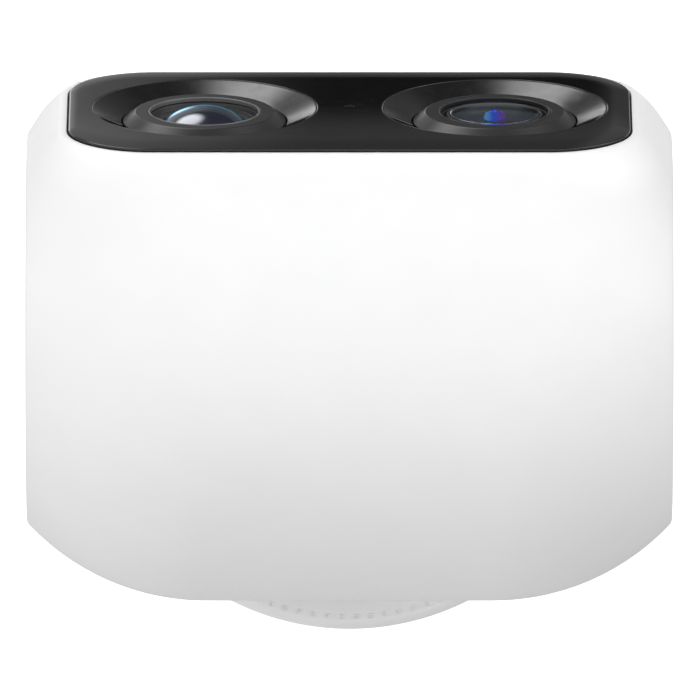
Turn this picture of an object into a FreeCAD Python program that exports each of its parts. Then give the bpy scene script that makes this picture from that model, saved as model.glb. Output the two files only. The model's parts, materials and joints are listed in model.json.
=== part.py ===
import FreeCAD, Part
import math
import os

from FreeCAD import Vector

# All sizes are in millimetres. The row frame has +Z up and the lenses looking towards -Y. Its
# origin is the centre of the wall plate's underside, which is also the pan axis.

# Head form, measured with the lenses level and the tilt axis as the local origin.
HEAD_WIDTH = 110.0
DRUM_RADIUS = 46.0
DRUM_EDGE_RADIUS = 41.3
DRUM_STRAIGHT_HALF = 24.6
FACE_DISTANCE = 39.2
SHELL_FRONT = 38.4
FACE_EDGE_RADIUS = 16.4
FACE_EDGE_START = math.radians(58.2)
SHELL_WALL = 2.4
RIM_BACK = 33.0

# Face plate and lenses.
PLATE_WIDTH = 96.2
PLATE_HEIGHT = 53.1
PLATE_CORNER = 14.5
PLATE_THICKNESS = 2.4
PLATE_GAP = 0.35
LEDGE_DEPTH = 3.2
LEDGE_WIDTH = 2.6
LENS_SPACING = 49.4
LENS_LOWERING = 0.7
FUNNEL_RADIUS = 19.2
FUNNEL_INNER_RADIUS = 14.1
FUNNEL_DEPTH = 2.3
FUNNEL_RELIEF_HALF_ANGLE = 77.5
FUNNEL_RELIEF_DEPTH = 3.1
BARREL_TOP_DEPTH = 0.7
MICROPHONE_LOWERING = 1.3
MICROPHONE_HOLE_RADIUS = 0.8
PLATE_CHAMFER = 0.25
PLATE_BACK = FACE_DISTANCE - PLATE_THICKNESS
FUNNEL_FLANGE_BACK = 35.2
FUNNEL_FLANGE_WIDTH = 1.2
FUNNEL_LIP_WIDTH = 0.7
FRAME_BACK = 30.5
FRAME_PASSAGE_RADIUS = 12.9
BARREL_RADIUS = 12.8
BARREL_BORE = 9.6
BARREL_BACK = 22.0
INNER_BORE = 8.2
GLASS_SEAT = 34.6
SENSOR_BOARD = 1.2
LIGHT_BOARD_FRONT = RIM_BACK + 1.2
LED_RADIUS = 1.6
LED_PLACES = [(-40, 18.5), (40, 18.5), (-40, -18.5), (40, -18.5), (0, 12), (0, -12)]

# Front glass of each lens: radius, back, edge and curve radius, then the height of the cell's lip.
WIDE_GLASS = (7.0, 35.6, 36.8, 10.8, 36.9)
TELE_GLASS = (7.65, 33.4, 38.3, 50.0, 38.1)

# Screw places and the circuit boards in the head.
SHELL_BOSS_X = 48.6
SHELL_BOSS_Y = 18.0
SHELL_SCREW_SEAT = -27.0
SHELL_SCREW_LENGTH = 24.0
BRACKET_BOSS_X = 26.5
BRACKET_BOSS_Y = 4.5
BRACKET_FOOT_BOTTOM = -37.0
BOARD_POST_X = 36.0
BOARD_POSTS_Y = (-11.0, 21.0)
BOARD_BOTTOM = 24.0
BOARD_TOP = 25.6
FRAME_SCREW_X = 47.3
FRAME_SCREW_Z = 9.0
SHELL_BOSS_RADIUS = 4.2
SHELL_SCREW_HOLE = 2.75
SHELL_PILOT = 1.35
BRACKET_BOSS_RADIUS = 3.0
BRACKET_PILOT = 1.03
BOARD_POST_RADIUS = 2.6
SMALL_PILOT = 0.95

# Seam between the two head shells, a plane that rises towards the back.
SEAM_HEIGHT = -13.0
SEAM_RISE = math.degrees(math.atan(0.2))
SEAM_GAP = 0.4

# Tilt mechanism.
TILT_AXIS_HEIGHT = 81.0
TILT_AXIS_FORWARD = 6.1
REST_TILT = 15.0
TILT_UP_LIMIT = 60.0
TILT_DOWN_LIMIT = 30.0
NECK_WIDTH = 26.0
NECK_DEPTH = 24.0
NECK_TOP = TILT_AXIS_HEIGHT - 28.0
SLOT_HALF_WIDTH = 14.0
AXLE_RADIUS = 2.0
EAR_INNER = 18.5
EAR_OUTER = 21.0
TILT_MODULE = 0.8
TILT_GEAR_TEETH = 36
TILT_PINION_TEETH = 12
TILT_GEAR_FACE = (13.1, 16.6)
TILT_MOTOR_ANGLE = 25.0

# Base and pan mechanism.
BASE_RADIUS = 45.2
BASE_HEIGHT = 28.0
BASE_WALL = 2.4
BASE_EDGE_RADIUS = 1.8
FLOOR_BOTTOM = 6.0
FLOOR_TOP = 8.0
COVER_SEAM = 22.0
SEAL_THICKNESS = 1.2
PERFORATION_RADIUS = 43.0
PERFORATION_COUNT = 110
PERFORATION_WIDTH = 0.85
PERFORATION_LENGTH = 0.95
PAN_MODULE = 1.0
PAN_GEAR_TEETH = 40
PAN_PINION_TEETH = 12
PAN_GEAR_FACE = (16.0, 20.0)
WALL_HOLE_CIRCLE = 60.0
WALL_HOLE_RADIUS = 2.3
GLAND_X = 24.0
GLAND_BORE = 3.5
CABLE_HOLE_RADIUS = 6.2
SERVICE_HALF_WIDTH = 9.0
SERVICE_BOTTOM = 10.0
SERVICE_TOP = 19.0
COLUMN_RADIUS = 38.5
COLUMN_TOP = 14.0
COLUMN_ANGLES = (45, 135, 225, 315)
LOCK_SCREW_HEIGHT = 3.6
SPEAKER_Y = -31.8
RECESS_BACK = 39.6
RESET_X = 6.8
RESET_Z = 13.4
COLUMN_PILOT = 1.3
FLANGE_TOP = BASE_HEIGHT + 2.4
JOURNAL_RADIUS = 9.0
HUB_RADIUS = 12.0
TURNTABLE_RADIUS = 21.9
YOKE_SCREWS = [(-8.5, -13.0), (8.5, -13.0)]
YOKE_PILOT = 1.05

SLIDE_CLEARANCE = 0.05
GEAR_BACKLASH = 0.16
PRESSURE_ANGLE = math.radians(20.0)
FAR = 200.0

X_AXIS = Vector(1, 0, 0)
Y_AXIS = Vector(0, 1, 0)
Z_AXIS = Vector(0, 0, 1)
ORIGIN = Vector(0, 0, 0)


# ---- Building blocks ---------------------------------------------------------------------------

def moved(shape, x, y, z):
    copy = shape.copy()
    copy.translate(Vector(x, y, z))
    return copy


def turned_about(shape, axis, angle):
    copy = shape.copy()
    copy.rotate(ORIGIN, axis, angle)
    return copy


def box(x, y, z):
    """Box between the pairs of limits x, y and z."""
    return Part.makeBox(x[1] - x[0], y[1] - y[0], z[1] - z[0], Vector(x[0], y[0], z[0]))


def rod(radius, x, y, z):
    """Upright cylinder at x, y between the pair of heights z."""
    return Part.makeCylinder(radius, z[1] - z[0], Vector(x, y, z[0]))


def rod_x(radius, x, y, z):
    """Cylinder along X between the pair of limits x."""
    return Part.makeCylinder(radius, x[1] - x[0], Vector(x[0], y, z), X_AXIS)


def rod_y(radius, x, y, z):
    """Cylinder along Y between the pair of limits y."""
    return Part.makeCylinder(radius, y[1] - y[0], Vector(x, y[0], z), Y_AXIS)


def ring(outer, inner, z):
    return rod(outer, 0, 0, z).cut(rod(inner, 0, 0, (z[0] - 1, z[1] + 1)))


def fused(shapes):
    first = shapes[0]
    return first.multiFuse(shapes[1:]).removeSplitter()


def line(start, end):
    return Part.LineSegment(start, end).toShape()


def arc(start, middle, end):
    return Part.Arc(start, middle, end).toShape()


def rounded_outline(half_width, half_height, corner, to_point):
    """Closed rounded rectangle, placed by to_point(across, up)."""
    corners = []
    for index, (side, rise) in enumerate(((1, 1), (-1, 1), (-1, -1), (1, -1))):
        across = side * (half_width - corner)
        up = rise * (half_height - corner)
        points = []
        for turn in (0, 45, 90):
            angle = math.radians(90 * index + turn)
            points.append(to_point(across + corner * math.cos(angle), up + corner * math.sin(angle)))
        corners.append(points)
    edges = []
    for points, following in zip(corners, corners[1:] + corners[:1]):
        edges.append(arc(*points))
        edges.append(line(points[-1], following[0]))
    return Part.Wire(edges)


def face_block(half_width, half_height, corner, front, back):
    """Rounded block facing the lenses' way, between two distances in front of the tilt axis."""
    outline = rounded_outline(half_width, half_height, corner, lambda a, u: Vector(a, -front, u))
    return Part.Face(outline).extrude(Vector(0, front - back, 0))


def post_block(half_width, half_depth, corner, y, z):
    """Upright rounded block centred on x = 0 and on y."""
    outline = rounded_outline(half_width, half_depth, corner, lambda a, u: Vector(a, y + u, z[0]))
    return Part.Face(outline).extrude(Vector(0, 0, z[1] - z[0]))


def turned(points):
    """Solid turned about Z from corner points given as (radius, height)."""
    corners = [Vector(radius, 0, height) for radius, height in points]
    outline = Part.makePolygon(corners + corners[:1])
    return Part.Face(outline).revolve(ORIGIN, Z_AXIS, 360)


def lens_turned(points, x):
    """Solid turned about a lens axis from corners given as (radius, distance in front)."""
    corners = [Vector(radius, -front, 0) for radius, front in points]
    outline = Part.makePolygon(corners + corners[:1])
    solid = Part.Face(outline).revolve(ORIGIN, Y_AXIS, 360)
    return moved(solid, x, 0, -LENS_LOWERING)


def lens_element(radius, back, edge, curve_radius, x):
    """Plano-convex lens whose front is a sphere that starts at the edge distance."""
    sag = curve_radius - math.sqrt(curve_radius ** 2 - radius ** 2)
    centre = edge + sag - curve_radius
    half = math.asin(radius / curve_radius) / 2
    middle = Vector(curve_radius * math.sin(half), -(centre + curve_radius * math.cos(half)), 0)
    apex = Vector(0, -(edge + sag), 0)
    rim = Vector(radius, -edge, 0)
    heel = Vector(radius, -back, 0)
    foot = Vector(0, -back, 0)
    outline = Part.Wire([arc(apex, middle, rim), line(rim, heel), line(heel, foot), line(foot, apex)])
    solid = Part.Face(outline).revolve(ORIGIN, Y_AXIS, 360)
    return moved(solid, x, 0, -LENS_LOWERING)


def sector_about_tilt(half_width, inner, outer, first_angle, last_angle):
    """Wedge about the tilt axis. Angles start straight down and grow towards the back."""
    corners = [Vector(-half_width, 0, -inner), Vector(half_width, 0, -inner),
               Vector(half_width, 0, -outer), Vector(-half_width, 0, -outer)]
    outline = Part.Face(Part.makePolygon(corners + corners[:1]))
    outline.rotate(ORIGIN, X_AXIS, first_angle)
    return outline.revolve(ORIGIN, X_AXIS, last_angle - first_angle)


def screw(head_radius, head_height, shank_radius, shank_length):
    """Screw along +Z: head below z = 0 with a cross recess, shank above."""
    head = rod(head_radius, 0, 0, (-head_height, 0))
    arm = head_radius * 0.6
    slot = head_radius * 0.16
    depth = (-head_height - 1, -head_height * 0.45)
    recess = box((-arm, arm), (-slot, slot), depth).fuse(box((-slot, slot), (-arm, arm), depth))
    return head.cut(recess).fuse(rod(shank_radius, 0, 0, (0, shank_length)))


def gear(teeth, module, width, bore):
    """Spur gear along +Z with one tooth centred on +X."""
    pitch = teeth * module / 2
    base = pitch * math.cos(PRESSURE_ANGLE)
    tip = pitch + 0.95 * module
    root = pitch - 1.2 * module
    half_pitch = math.pi / 2 / teeth - GEAR_BACKLASH / 2 / pitch
    involute = math.tan(PRESSURE_ANGLE) - PRESSURE_ANGLE
    start = max(base, root)
    flank = []
    steps = 5
    for step in range(steps + 1):
        radius = start + (tip - start) * step / steps
        roll = math.acos(min(1.0, base / radius))
        flank.append((radius, half_pitch + involute - (math.tan(roll) - roll)))
    flank.insert(0, (root, flank[0][1]))
    corners = []
    for tooth in range(teeth):
        centre = 2 * math.pi * tooth / teeth
        for radius, half in flank:
            angle = centre - half
            corners.append(Vector(radius * math.cos(angle), radius * math.sin(angle), 0))
        for radius, half in reversed(flank):
            angle = centre + half
            corners.append(Vector(radius * math.cos(angle), radius * math.sin(angle), 0))
    outline = Part.makePolygon(corners + corners[:1])
    solid = Part.Face(outline).extrude(Vector(0, 0, width))
    return solid.cut(rod(bore, 0, 0, (-1, width + 1))) if bore else solid


def along_x(shape):
    """Turn a piece built along +Z so that it runs along +X."""
    return turned_about(shape, Y_AXIS, 90)


def in_head(shape):
    """Place a piece from the level head frame into the row frame, at the rest tilt."""
    placed = turned_about(shape, X_AXIS, -REST_TILT)
    return moved(placed, 0, -TILT_AXIS_FORWARD, TILT_AXIS_HEIGHT)


def ring_of(shape, radius, angles):
    """Copies of a shape moved out to a radius and turned to each angle in degrees."""
    out = moved(shape, radius, 0, 0)
    return [turned_about(out, Z_AXIS, angle) for angle in angles]


# ---- Head shells -------------------------------------------------------------------------------

def drum(inset):
    """Drum about the tilt axis with large rounded ends and flat end discs."""
    half = HEAD_WIDTH / 2 - inset
    edge = DRUM_EDGE_RADIUS - inset
    core = DRUM_RADIUS - DRUM_EDGE_RADIUS
    end_angle = math.acos((half - DRUM_STRAIGHT_HALF) / edge)
    middle_angle = (end_angle + math.pi / 2) / 2

    def on_edge(side, angle):
        across = DRUM_STRAIGHT_HALF + edge * math.cos(angle)
        return Vector(side * across, 0, core + edge * math.sin(angle))

    left = Vector(-half, 0, 0)
    right = Vector(half, 0, 0)
    crest_left = Vector(-DRUM_STRAIGHT_HALF, 0, core + edge)
    crest_right = Vector(DRUM_STRAIGHT_HALF, 0, core + edge)
    outline = Part.Wire([
        line(left, on_edge(-1, end_angle)),
        arc(on_edge(-1, end_angle), on_edge(-1, middle_angle), crest_left),
        line(crest_left, crest_right),
        arc(crest_right, on_edge(1, middle_angle), on_edge(1, end_angle)),
        line(on_edge(1, end_angle), right),
        line(right, left),
    ])
    return Part.Face(outline).revolve(ORIGIN, X_AXIS, 360)


def snout(inset):
    """Rounded block that carries the face plate in front of the drum."""
    grow = FACE_EDGE_RADIUS * (1 - math.cos(FACE_EDGE_START)) - inset
    front = FACE_DISTANCE + FACE_EDGE_RADIUS * (1 - math.sin(FACE_EDGE_START)) - inset
    block = face_block(PLATE_WIDTH / 2 + grow, PLATE_HEIGHT / 2 + grow, PLATE_CORNER + grow, front, 0)
    front_edges = [edge for edge in block.Edges if edge.BoundBox.YMax < 0.01 - front]
    return block.makeFillet(FACE_EDGE_RADIUS - inset, front_edges)


def head_form(inset):
    """Outer form of the head, shrunk evenly by an inset."""
    half = HEAD_WIDTH / 2 - inset
    limits = box((-half, half), (-SHELL_FRONT, FAR), (-FAR, FAR))
    return drum(inset).fuse(snout(inset)).common(limits).removeSplitter()


def seam_slab(low, high):
    """Slab parallel to the seam between the shells."""
    slab = box((-FAR, FAR), (-FAR, FAR), (low, high))
    return moved(turned_about(slab, X_AXIS, SEAM_RISE), 0, 0, SEAM_HEIGHT)


def shell_boss_places():
    return [(side * SHELL_BOSS_X, end * SHELL_BOSS_Y) for side in (-1, 1) for end in (-1, 1)]


def bracket_boss_places():
    return [(side * BRACKET_BOSS_X, end * BRACKET_BOSS_Y) for side in (-1, 1) for end in (-1, 1)]


def board_post_places():
    return [(side * BOARD_POST_X, y) for side in (-1, 1) for y in BOARD_POSTS_Y]


def frame_screw_places():
    return [(side * FRAME_SCREW_X, end * FRAME_SCREW_Z) for side in (-1, 1) for end in (-1, 1)]


def whole_shell():
    """Both head shells as one hollow body, with the face opening and the screw bosses."""
    outer = head_form(0)
    cavity = head_form(SHELL_WALL).common(box((-FAR, FAR), (-RIM_BACK, FAR), (-FAR, FAR)))
    shell = outer.cut(cavity)
    ledge_w = PLATE_WIDTH / 2 - LEDGE_WIDTH
    ledge_h = PLATE_HEIGHT / 2 - LEDGE_WIDTH
    ledge_corner = PLATE_CORNER - LEDGE_WIDTH
    through = face_block(ledge_w, ledge_h, ledge_corner, FACE_DISTANCE + 1, RIM_BACK - 1)
    recess_back = FACE_DISTANCE - LEDGE_DEPTH
    recess = face_block(PLATE_WIDTH / 2, PLATE_HEIGHT / 2, PLATE_CORNER, FACE_DISTANCE + 1, recess_back)
    shell = shell.cut(through.fuse(recess))
    core = head_form(SHELL_WALL / 2)
    bosses = [rod(SHELL_BOSS_RADIUS, x, y, (-40, 2)) for x, y in shell_boss_places()]
    bosses += [rod(BRACKET_BOSS_RADIUS, x, y, (-45, BRACKET_FOOT_BOTTOM))
               for x, y in bracket_boss_places()]
    bosses += [rod(BOARD_POST_RADIUS, x, y, (BOARD_TOP, 45)) for x, y in board_post_places()]
    bosses = [boss.common(core) for boss in bosses]
    shell = fused([shell] + bosses)
    holes = [rod(SMALL_PILOT, x, y, (BOARD_TOP - 1, BOARD_TOP + 7)) for x, y in board_post_places()]
    holes += [rod(BRACKET_PILOT, x, y, (-41.5, BRACKET_FOOT_BOTTOM + 1))
              for x, y in bracket_boss_places()]
    holes += [rod_y(SMALL_PILOT, x, (-RIM_BACK - 2.4, 0), z) for x, z in frame_screw_places()]
    for x, y in shell_boss_places():
        holes.append(rod(SHELL_SCREW_HOLE, x, y, (-45, SHELL_SCREW_SEAT)))
        pilot_end = SHELL_SCREW_SEAT + SHELL_SCREW_LENGTH + 0.5
        holes.append(rod(SHELL_PILOT, x, y, (-45, pilot_end)))
    return shell.cut(Part.makeCompound(holes))


def neck_slot():
    """Path that the neck takes through the underside as the head tilts."""
    spread = math.degrees(math.asin(NECK_DEPTH / 2 / DRUM_RADIUS)) + 2.0
    first = -TILT_DOWN_LIMIT - spread
    last = TILT_UP_LIMIT + spread
    return sector_about_tilt(SLOT_HALF_WIDTH, 30, 60, first, last)


def shell_seal():
    """Rubber cord that closes the seam inside the shells' walls."""
    band = head_form(0.9).cut(head_form(2.1)).common(seam_slab(-SEAM_GAP / 2, SEAM_GAP / 2))
    band = band.cut(box((-FAR, FAR), (-FAR, -RIM_BACK), (-FAR, FAR)))
    keep_out = [rod(SHELL_BOSS_RADIUS + 0.1, x, y, (-45, 45)) for x, y in shell_boss_places()]
    return band.cut(Part.makeCompound(keep_out + [neck_slot()]))


def head_shells():
    shell = whole_shell()
    upper = shell.common(seam_slab(SEAM_GAP / 2, FAR))
    lower = shell.common(seam_slab(-FAR, -SEAM_GAP / 2)).cut(neck_slot())
    screws = []
    for x, y in shell_boss_places():
        screws.append(moved(screw(2.6, 1.8, 1.3, SHELL_SCREW_LENGTH), x, y, SHELL_SCREW_SEAT))
    return {
        "head_shell": upper,
        "underside_shell": lower,
        "shell_seal": shell_seal(),
        "shell_screws": Part.makeCompound(screws),
    }


# ---- Face and lenses ---------------------------------------------------------------------------

def lens_places():
    """The wide lens looks out on the +X side and the tele lens on the -X side."""
    return {"wide": LENS_SPACING / 2, "tele": -LENS_SPACING / 2}


def face_plate():
    half_w = PLATE_WIDTH / 2 - PLATE_GAP
    half_h = PLATE_HEIGHT / 2 - PLATE_GAP
    plate = face_block(half_w, half_h, PLATE_CORNER - PLATE_GAP, FACE_DISTANCE, PLATE_BACK)
    front_edges = [edge for edge in plate.Edges if edge.BoundBox.YMax < 0.01 - FACE_DISTANCE]
    plate = plate.makeChamfer(PLATE_CHAMFER, front_edges)
    for x in lens_places().values():
        span = (-FACE_DISTANCE - 1, -PLATE_BACK + 1)
        plate = plate.cut(rod_y(FUNNEL_RADIUS, x, span, -LENS_LOWERING))
    return plate.cut(rod_y(MICROPHONE_HOLE_RADIUS, 0, (-FACE_DISTANCE - 1, 0), -MICROPHONE_LOWERING))


def face_gasket():
    """L-section gasket: a flat band on the ledge and a thin lip round the plate's edge."""
    floor = FACE_DISTANCE - LEDGE_DEPTH
    half_w = PLATE_WIDTH / 2
    half_h = PLATE_HEIGHT / 2
    whole = face_block(half_w, half_h, PLATE_CORNER, SHELL_FRONT - 0.4, floor)
    width = LEDGE_WIDTH - 0.4
    hollow = face_block(half_w - width, half_h - width, PLATE_CORNER - width, FACE_DISTANCE, floor - 1)
    seat = face_block(half_w - PLATE_GAP, half_h - PLATE_GAP, PLATE_CORNER - PLATE_GAP,
                      FACE_DISTANCE, PLATE_BACK)
    return whole.cut(hollow.fuse(seat))


def lens_funnel(x):
    """Shallow cone round a lens, with its upper sector cut down to a deeper floor."""
    flange = FUNNEL_RADIUS + FUNNEL_FLANGE_WIDTH
    cone = lens_turned([
        (FUNNEL_RADIUS, FACE_DISTANCE),
        (FUNNEL_INNER_RADIUS, FACE_DISTANCE - FUNNEL_DEPTH),
        (FUNNEL_INNER_RADIUS, FUNNEL_FLANGE_BACK),
        (flange, FUNNEL_FLANGE_BACK),
        (flange, PLATE_BACK),
        (FUNNEL_RADIUS, PLATE_BACK),
    ], x)
    floor = FACE_DISTANCE - FUNNEL_RELIEF_DEPTH
    relief = face_ring(FUNNEL_RADIUS - FUNNEL_LIP_WIDTH, FUNNEL_INNER_RADIUS - 1, FACE_DISTANCE + 1, floor, x)
    reach = FUNNEL_RADIUS * 2
    angle = math.radians(FUNNEL_RELIEF_HALF_ANGLE)
    tip = Vector(x, -FACE_DISTANCE - 1, -LENS_LOWERING)
    left = tip + Vector(-reach * math.sin(angle), 0, reach * math.cos(angle))
    right = tip + Vector(reach * math.sin(angle), 0, reach * math.cos(angle))
    top = tip + Vector(0, 0, reach)
    wedge = Part.Face(Part.makePolygon([tip, left, left + Vector(0, 0, reach), top,
                                        right + Vector(0, 0, reach), right, tip]))
    return cone.cut(relief.common(wedge.extrude(Vector(0, 10, 0))))


def face_ring(outer, inner, front, back, x):
    """Ring about a lens axis between two distances in front of the tilt axis."""
    return lens_turned([(outer, front), (inner, front), (inner, back), (outer, back)], x)


def lens_barrel(x):
    """Black barrel: flat collar in front, conical skirt, mounting flange and stepped bore."""
    top = FACE_DISTANCE - BARREL_TOP_DEPTH
    skirt = FACE_DISTANCE - FUNNEL_DEPTH
    return lens_turned([
        (BARREL_BORE, top),
        (11.8, top),
        (13.9, skirt),
        (13.9, skirt - 0.6),
        (BARREL_RADIUS, skirt - 0.6),
        (BARREL_RADIUS, FRAME_BACK),
        (16.0, FRAME_BACK),
        (16.0, FRAME_BACK - 2.0),
        (BARREL_RADIUS, FRAME_BACK - 2.0),
        (BARREL_RADIUS, BARREL_BACK),
        (5.0, BARREL_BACK),
        (5.0, 25.0),
        (INNER_BORE, 25.0),
        (INNER_BORE, GLASS_SEAT),
        (BARREL_BORE, GLASS_SEAT),
    ], x)


def lens_cell(glass_radius, lip, x):
    """Ring that holds the front glass in the barrel, with a groove round the glass."""
    inner = glass_radius + SLIDE_CLEARANCE
    outer = BARREL_BORE - SLIDE_CLEARANCE
    return lens_turned([
        (inner, GLASS_SEAT),
        (outer, GLASS_SEAT),
        (outer, 37.7),
        (9.05, 37.7),
        (8.9, 36.8),
        (8.3, 36.8),
        (8.1, lip),
        (inner, lip),
    ], x)


def sensor_board(x):
    board = box((x - 12, x + 12), (-BARREL_BACK, -BARREL_BACK + SENSOR_BOARD), (-12.7, 11.3))
    chip = box((x - 3.2, x + 3.2), (-BARREL_BACK - 0.8, -BARREL_BACK), (-3.1, 1.7))
    return board.fuse(chip)


def lens_modules():
    nodes = {}
    glass = {"wide": WIDE_GLASS, "tele": TELE_GLASS}
    for name, x in lens_places().items():
        radius, back, edge, curve, lip = glass[name]
        nodes[name + "_lens_funnel"] = lens_funnel(x)
        nodes[name + "_lens_barrel"] = lens_barrel(x)
        nodes[name + "_lens_cell"] = lens_cell(radius, lip, x)
        nodes[name + "_rim_ring"] = face_ring(BARREL_BORE - SLIDE_CLEARANCE, 9.1, 38.6, 37.8, x)
        nodes[name + "_front_glass"] = lens_element(radius, back, edge, curve, x)
    both = lens_places().values()
    nodes["inner_lenses"] = Part.makeCompound([lens_element(INNER_BORE - SLIDE_CLEARANCE, 29.0, 30.4, 14.0, x)
                                           for x in both])
    nodes["sensor_boards"] = Part.makeCompound([sensor_board(x) for x in both])
    return nodes


def face_frame():
    """Inner frame that carries both lens barrels behind the shell's rim."""
    frame = face_block(49.5, 26.5, 16.0, RIM_BACK, FRAME_BACK)
    for x in lens_places().values():
        frame = frame.cut(rod_y(FRAME_PASSAGE_RADIUS, x, (-RIM_BACK - 1, -FRAME_BACK + 1), -LENS_LOWERING))
    holes = [rod_y(SMALL_PILOT, x, (-RIM_BACK - 1, 0), z) for x, z in frame_screw_places()]
    return frame.cut(Part.makeCompound(holes))


def small_screws():
    """Identical screws that hold the face frame and the main board."""
    screws = []
    for x, z in frame_screw_places():
        one = turned_about(screw(1.7, 1.2, 0.9, 4.6), X_AXIS, 90)
        screws.append(moved(one, x, -FRAME_BACK, z))
    for x, y in board_post_places():
        screws.append(moved(screw(1.7, 1.2, 0.9, 4.6), x, y, BOARD_BOTTOM))
    return Part.makeCompound(screws)


def light_board():
    """Circuit board with infra-red and white emitters behind the dark plate."""
    board = face_block(44.8, 23.3, 11.0, LIGHT_BOARD_FRONT, RIM_BACK)
    for x in lens_places().values():
        board = board.cut(rod_y(20.0, x, (-LIGHT_BOARD_FRONT - 1, -RIM_BACK + 1), -LENS_LOWERING))
    lights = [rod_y(LED_RADIUS, x, (-LIGHT_BOARD_FRONT - 1.1, -LIGHT_BOARD_FRONT), z)
              for x, z in LED_PLACES]
    return fused([board] + lights)


def face_nodes():
    nodes = {
        "face_plate": face_plate(),
        "face_gasket": face_gasket(),
        "face_frame": face_frame(),
        "small_screws": small_screws(),
        "light_board": light_board(),
    }
    nodes["microphone"] = rod_y(2.0, 0, (-PLATE_BACK, -LIGHT_BOARD_FRONT), -MICROPHONE_LOWERING)
    nodes.update(lens_modules())
    return nodes


# ---- Electronics in the head -------------------------------------------------------------------

def heat_spreader():
    front = BARREL_BACK - SENSOR_BOARD
    upright = box((-40, 40), (-front, -front + 1.8), (-10, 22.5))
    shelf = box((-20, 20), (-front, 2), (21, 22.5))
    return upright.fuse(shelf).removeSplitter()


def main_board():
    board = box((-42, 42), (-16, 26), (BOARD_BOTTOM, BOARD_TOP))
    processor = box((-7, 7), (-15, -1), (22.5, BOARD_BOTTOM))
    memory = box((12, 20), (-14, -4), (22.8, BOARD_BOTTOM))
    connector = box((-32, -18), (18, 23), (21, BOARD_BOTTOM))
    board = fused([board, processor, memory, connector])
    holes = [rod(SMALL_PILOT, x, y, (0, 40)) for x, y in board_post_places()]
    return board.cut(Part.makeCompound(holes))


def electronics():
    return {
        "heat_spreader": heat_spreader(),
        "main_board": main_board(),
        "shield_can": box((6, 30), (-6, 14), (BOARD_TOP, BOARD_TOP + 2.6)),
        "antenna": box((-38, -10), (26, 26.8), (12, BOARD_TOP)),
    }


# ---- Tilt drive --------------------------------------------------------------------------------

def tilt_centre_distance():
    return TILT_MODULE * (TILT_GEAR_TEETH + TILT_PINION_TEETH) / 2 + 0.04


def tilt_motor_place():
    """Local (y, z) of the motor axis, behind and above the tilt axis."""
    angle = math.radians(TILT_MOTOR_ANGLE)
    distance = tilt_centre_distance()
    return distance * math.cos(angle), distance * math.sin(angle)


def ear(side):
    """Side bracket from the underside shell up to the axle; one also carries the tilt motor."""
    span = (EAR_INNER, EAR_OUTER)
    pieces = [rod_x(8.0, span, 0, 0), box(span, (-8, 8), (BRACKET_FOOT_BOTTOM, 0))]
    motor_y, motor_z = tilt_motor_place()
    cuts = [rod_x(3.4, (0, FAR), 0, 0)]
    if side > 0:
        pieces.append(rod_x(10.0, span, motor_y, motor_z))
        link = box(span, (0, tilt_centre_distance()), (-8, 8))
        pieces.append(turned_about(link, X_AXIS, TILT_MOTOR_ANGLE))
        cuts.append(rod_x(1.6, (0, FAR), motor_y, motor_z))
    pieces.append(box((EAR_OUTER - 0.01, 30), (-8, 8), (BRACKET_FOOT_BOTTOM, BRACKET_FOOT_BOTTOM + 2.2)))
    for y in (-BRACKET_BOSS_Y, BRACKET_BOSS_Y):
        cuts.append(rod(BRACKET_PILOT, BRACKET_BOSS_X, y, (-45, 0)))
    bracket = fused(pieces).cut(Part.makeCompound(cuts))
    return bracket if side > 0 else turned_about(bracket, Z_AXIS, 180)


def bracket_screws():
    top = BRACKET_FOOT_BOTTOM + 2.2
    screws = []
    for x, y in bracket_boss_places():
        down = turned_about(screw(1.9, 1.4, 1.0, 6.4), X_AXIS, 180)
        screws.append(moved(down, x, y, top))
    return Part.makeCompound(screws)


def tilt_bushes():
    both = []
    for low, high in ((EAR_INNER - 0.6, EAR_OUTER), (-EAR_OUTER, -EAR_INNER + 0.6)):
        sleeve = rod_x(3.4, (low, high), 0, 0)
        both.append(sleeve.cut(rod_x(AXLE_RADIUS + SLIDE_CLEARANCE, (low - 1, high + 1), 0, 0)))
    return Part.makeCompound(both)


def tilt_axle():
    axle = rod_x(AXLE_RADIUS, (-22.8, 22.8), 0, 0)
    for low, high in ((21.5, 22.2), (-22.2, -21.5)):
        groove = rod_x(3.0, (low, high), 0, 0).cut(rod_x(1.5, (low, high), 0, 0))
        axle = axle.cut(groove)
    return axle


def axle_clips():
    both = []
    for low, high in ((21.55, 22.15), (-22.15, -21.55)):
        clip = rod_x(3.6, (low, high), 0, 0).cut(rod_x(1.52, (low - 1, high + 1), 0, 0))
        both.append(clip.cut(box((low - 1, high + 1), (-1.2, 1.2), (-5, 0))))
    return Part.makeCompound(both)


def tilt_gear():
    """Gear fixed to the yoke; the motor in the head walks round it."""
    width = TILT_GEAR_FACE[1] - TILT_GEAR_FACE[0]
    wheel = gear(TILT_GEAR_TEETH, TILT_MODULE, width, AXLE_RADIUS + 0.01)
    toward_pinion = math.degrees(math.atan2(*reversed_place(tilt_motor_place())))
    wheel = turned_about(wheel, Z_AXIS, toward_pinion)
    return moved(along_x(wheel), TILT_GEAR_FACE[0], 0, 0)


def reversed_place(place):
    """Gear-plane pair (sine, cosine) for a direction (y, z) once the gear lies along X."""
    y, z = place
    return y, -z


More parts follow.
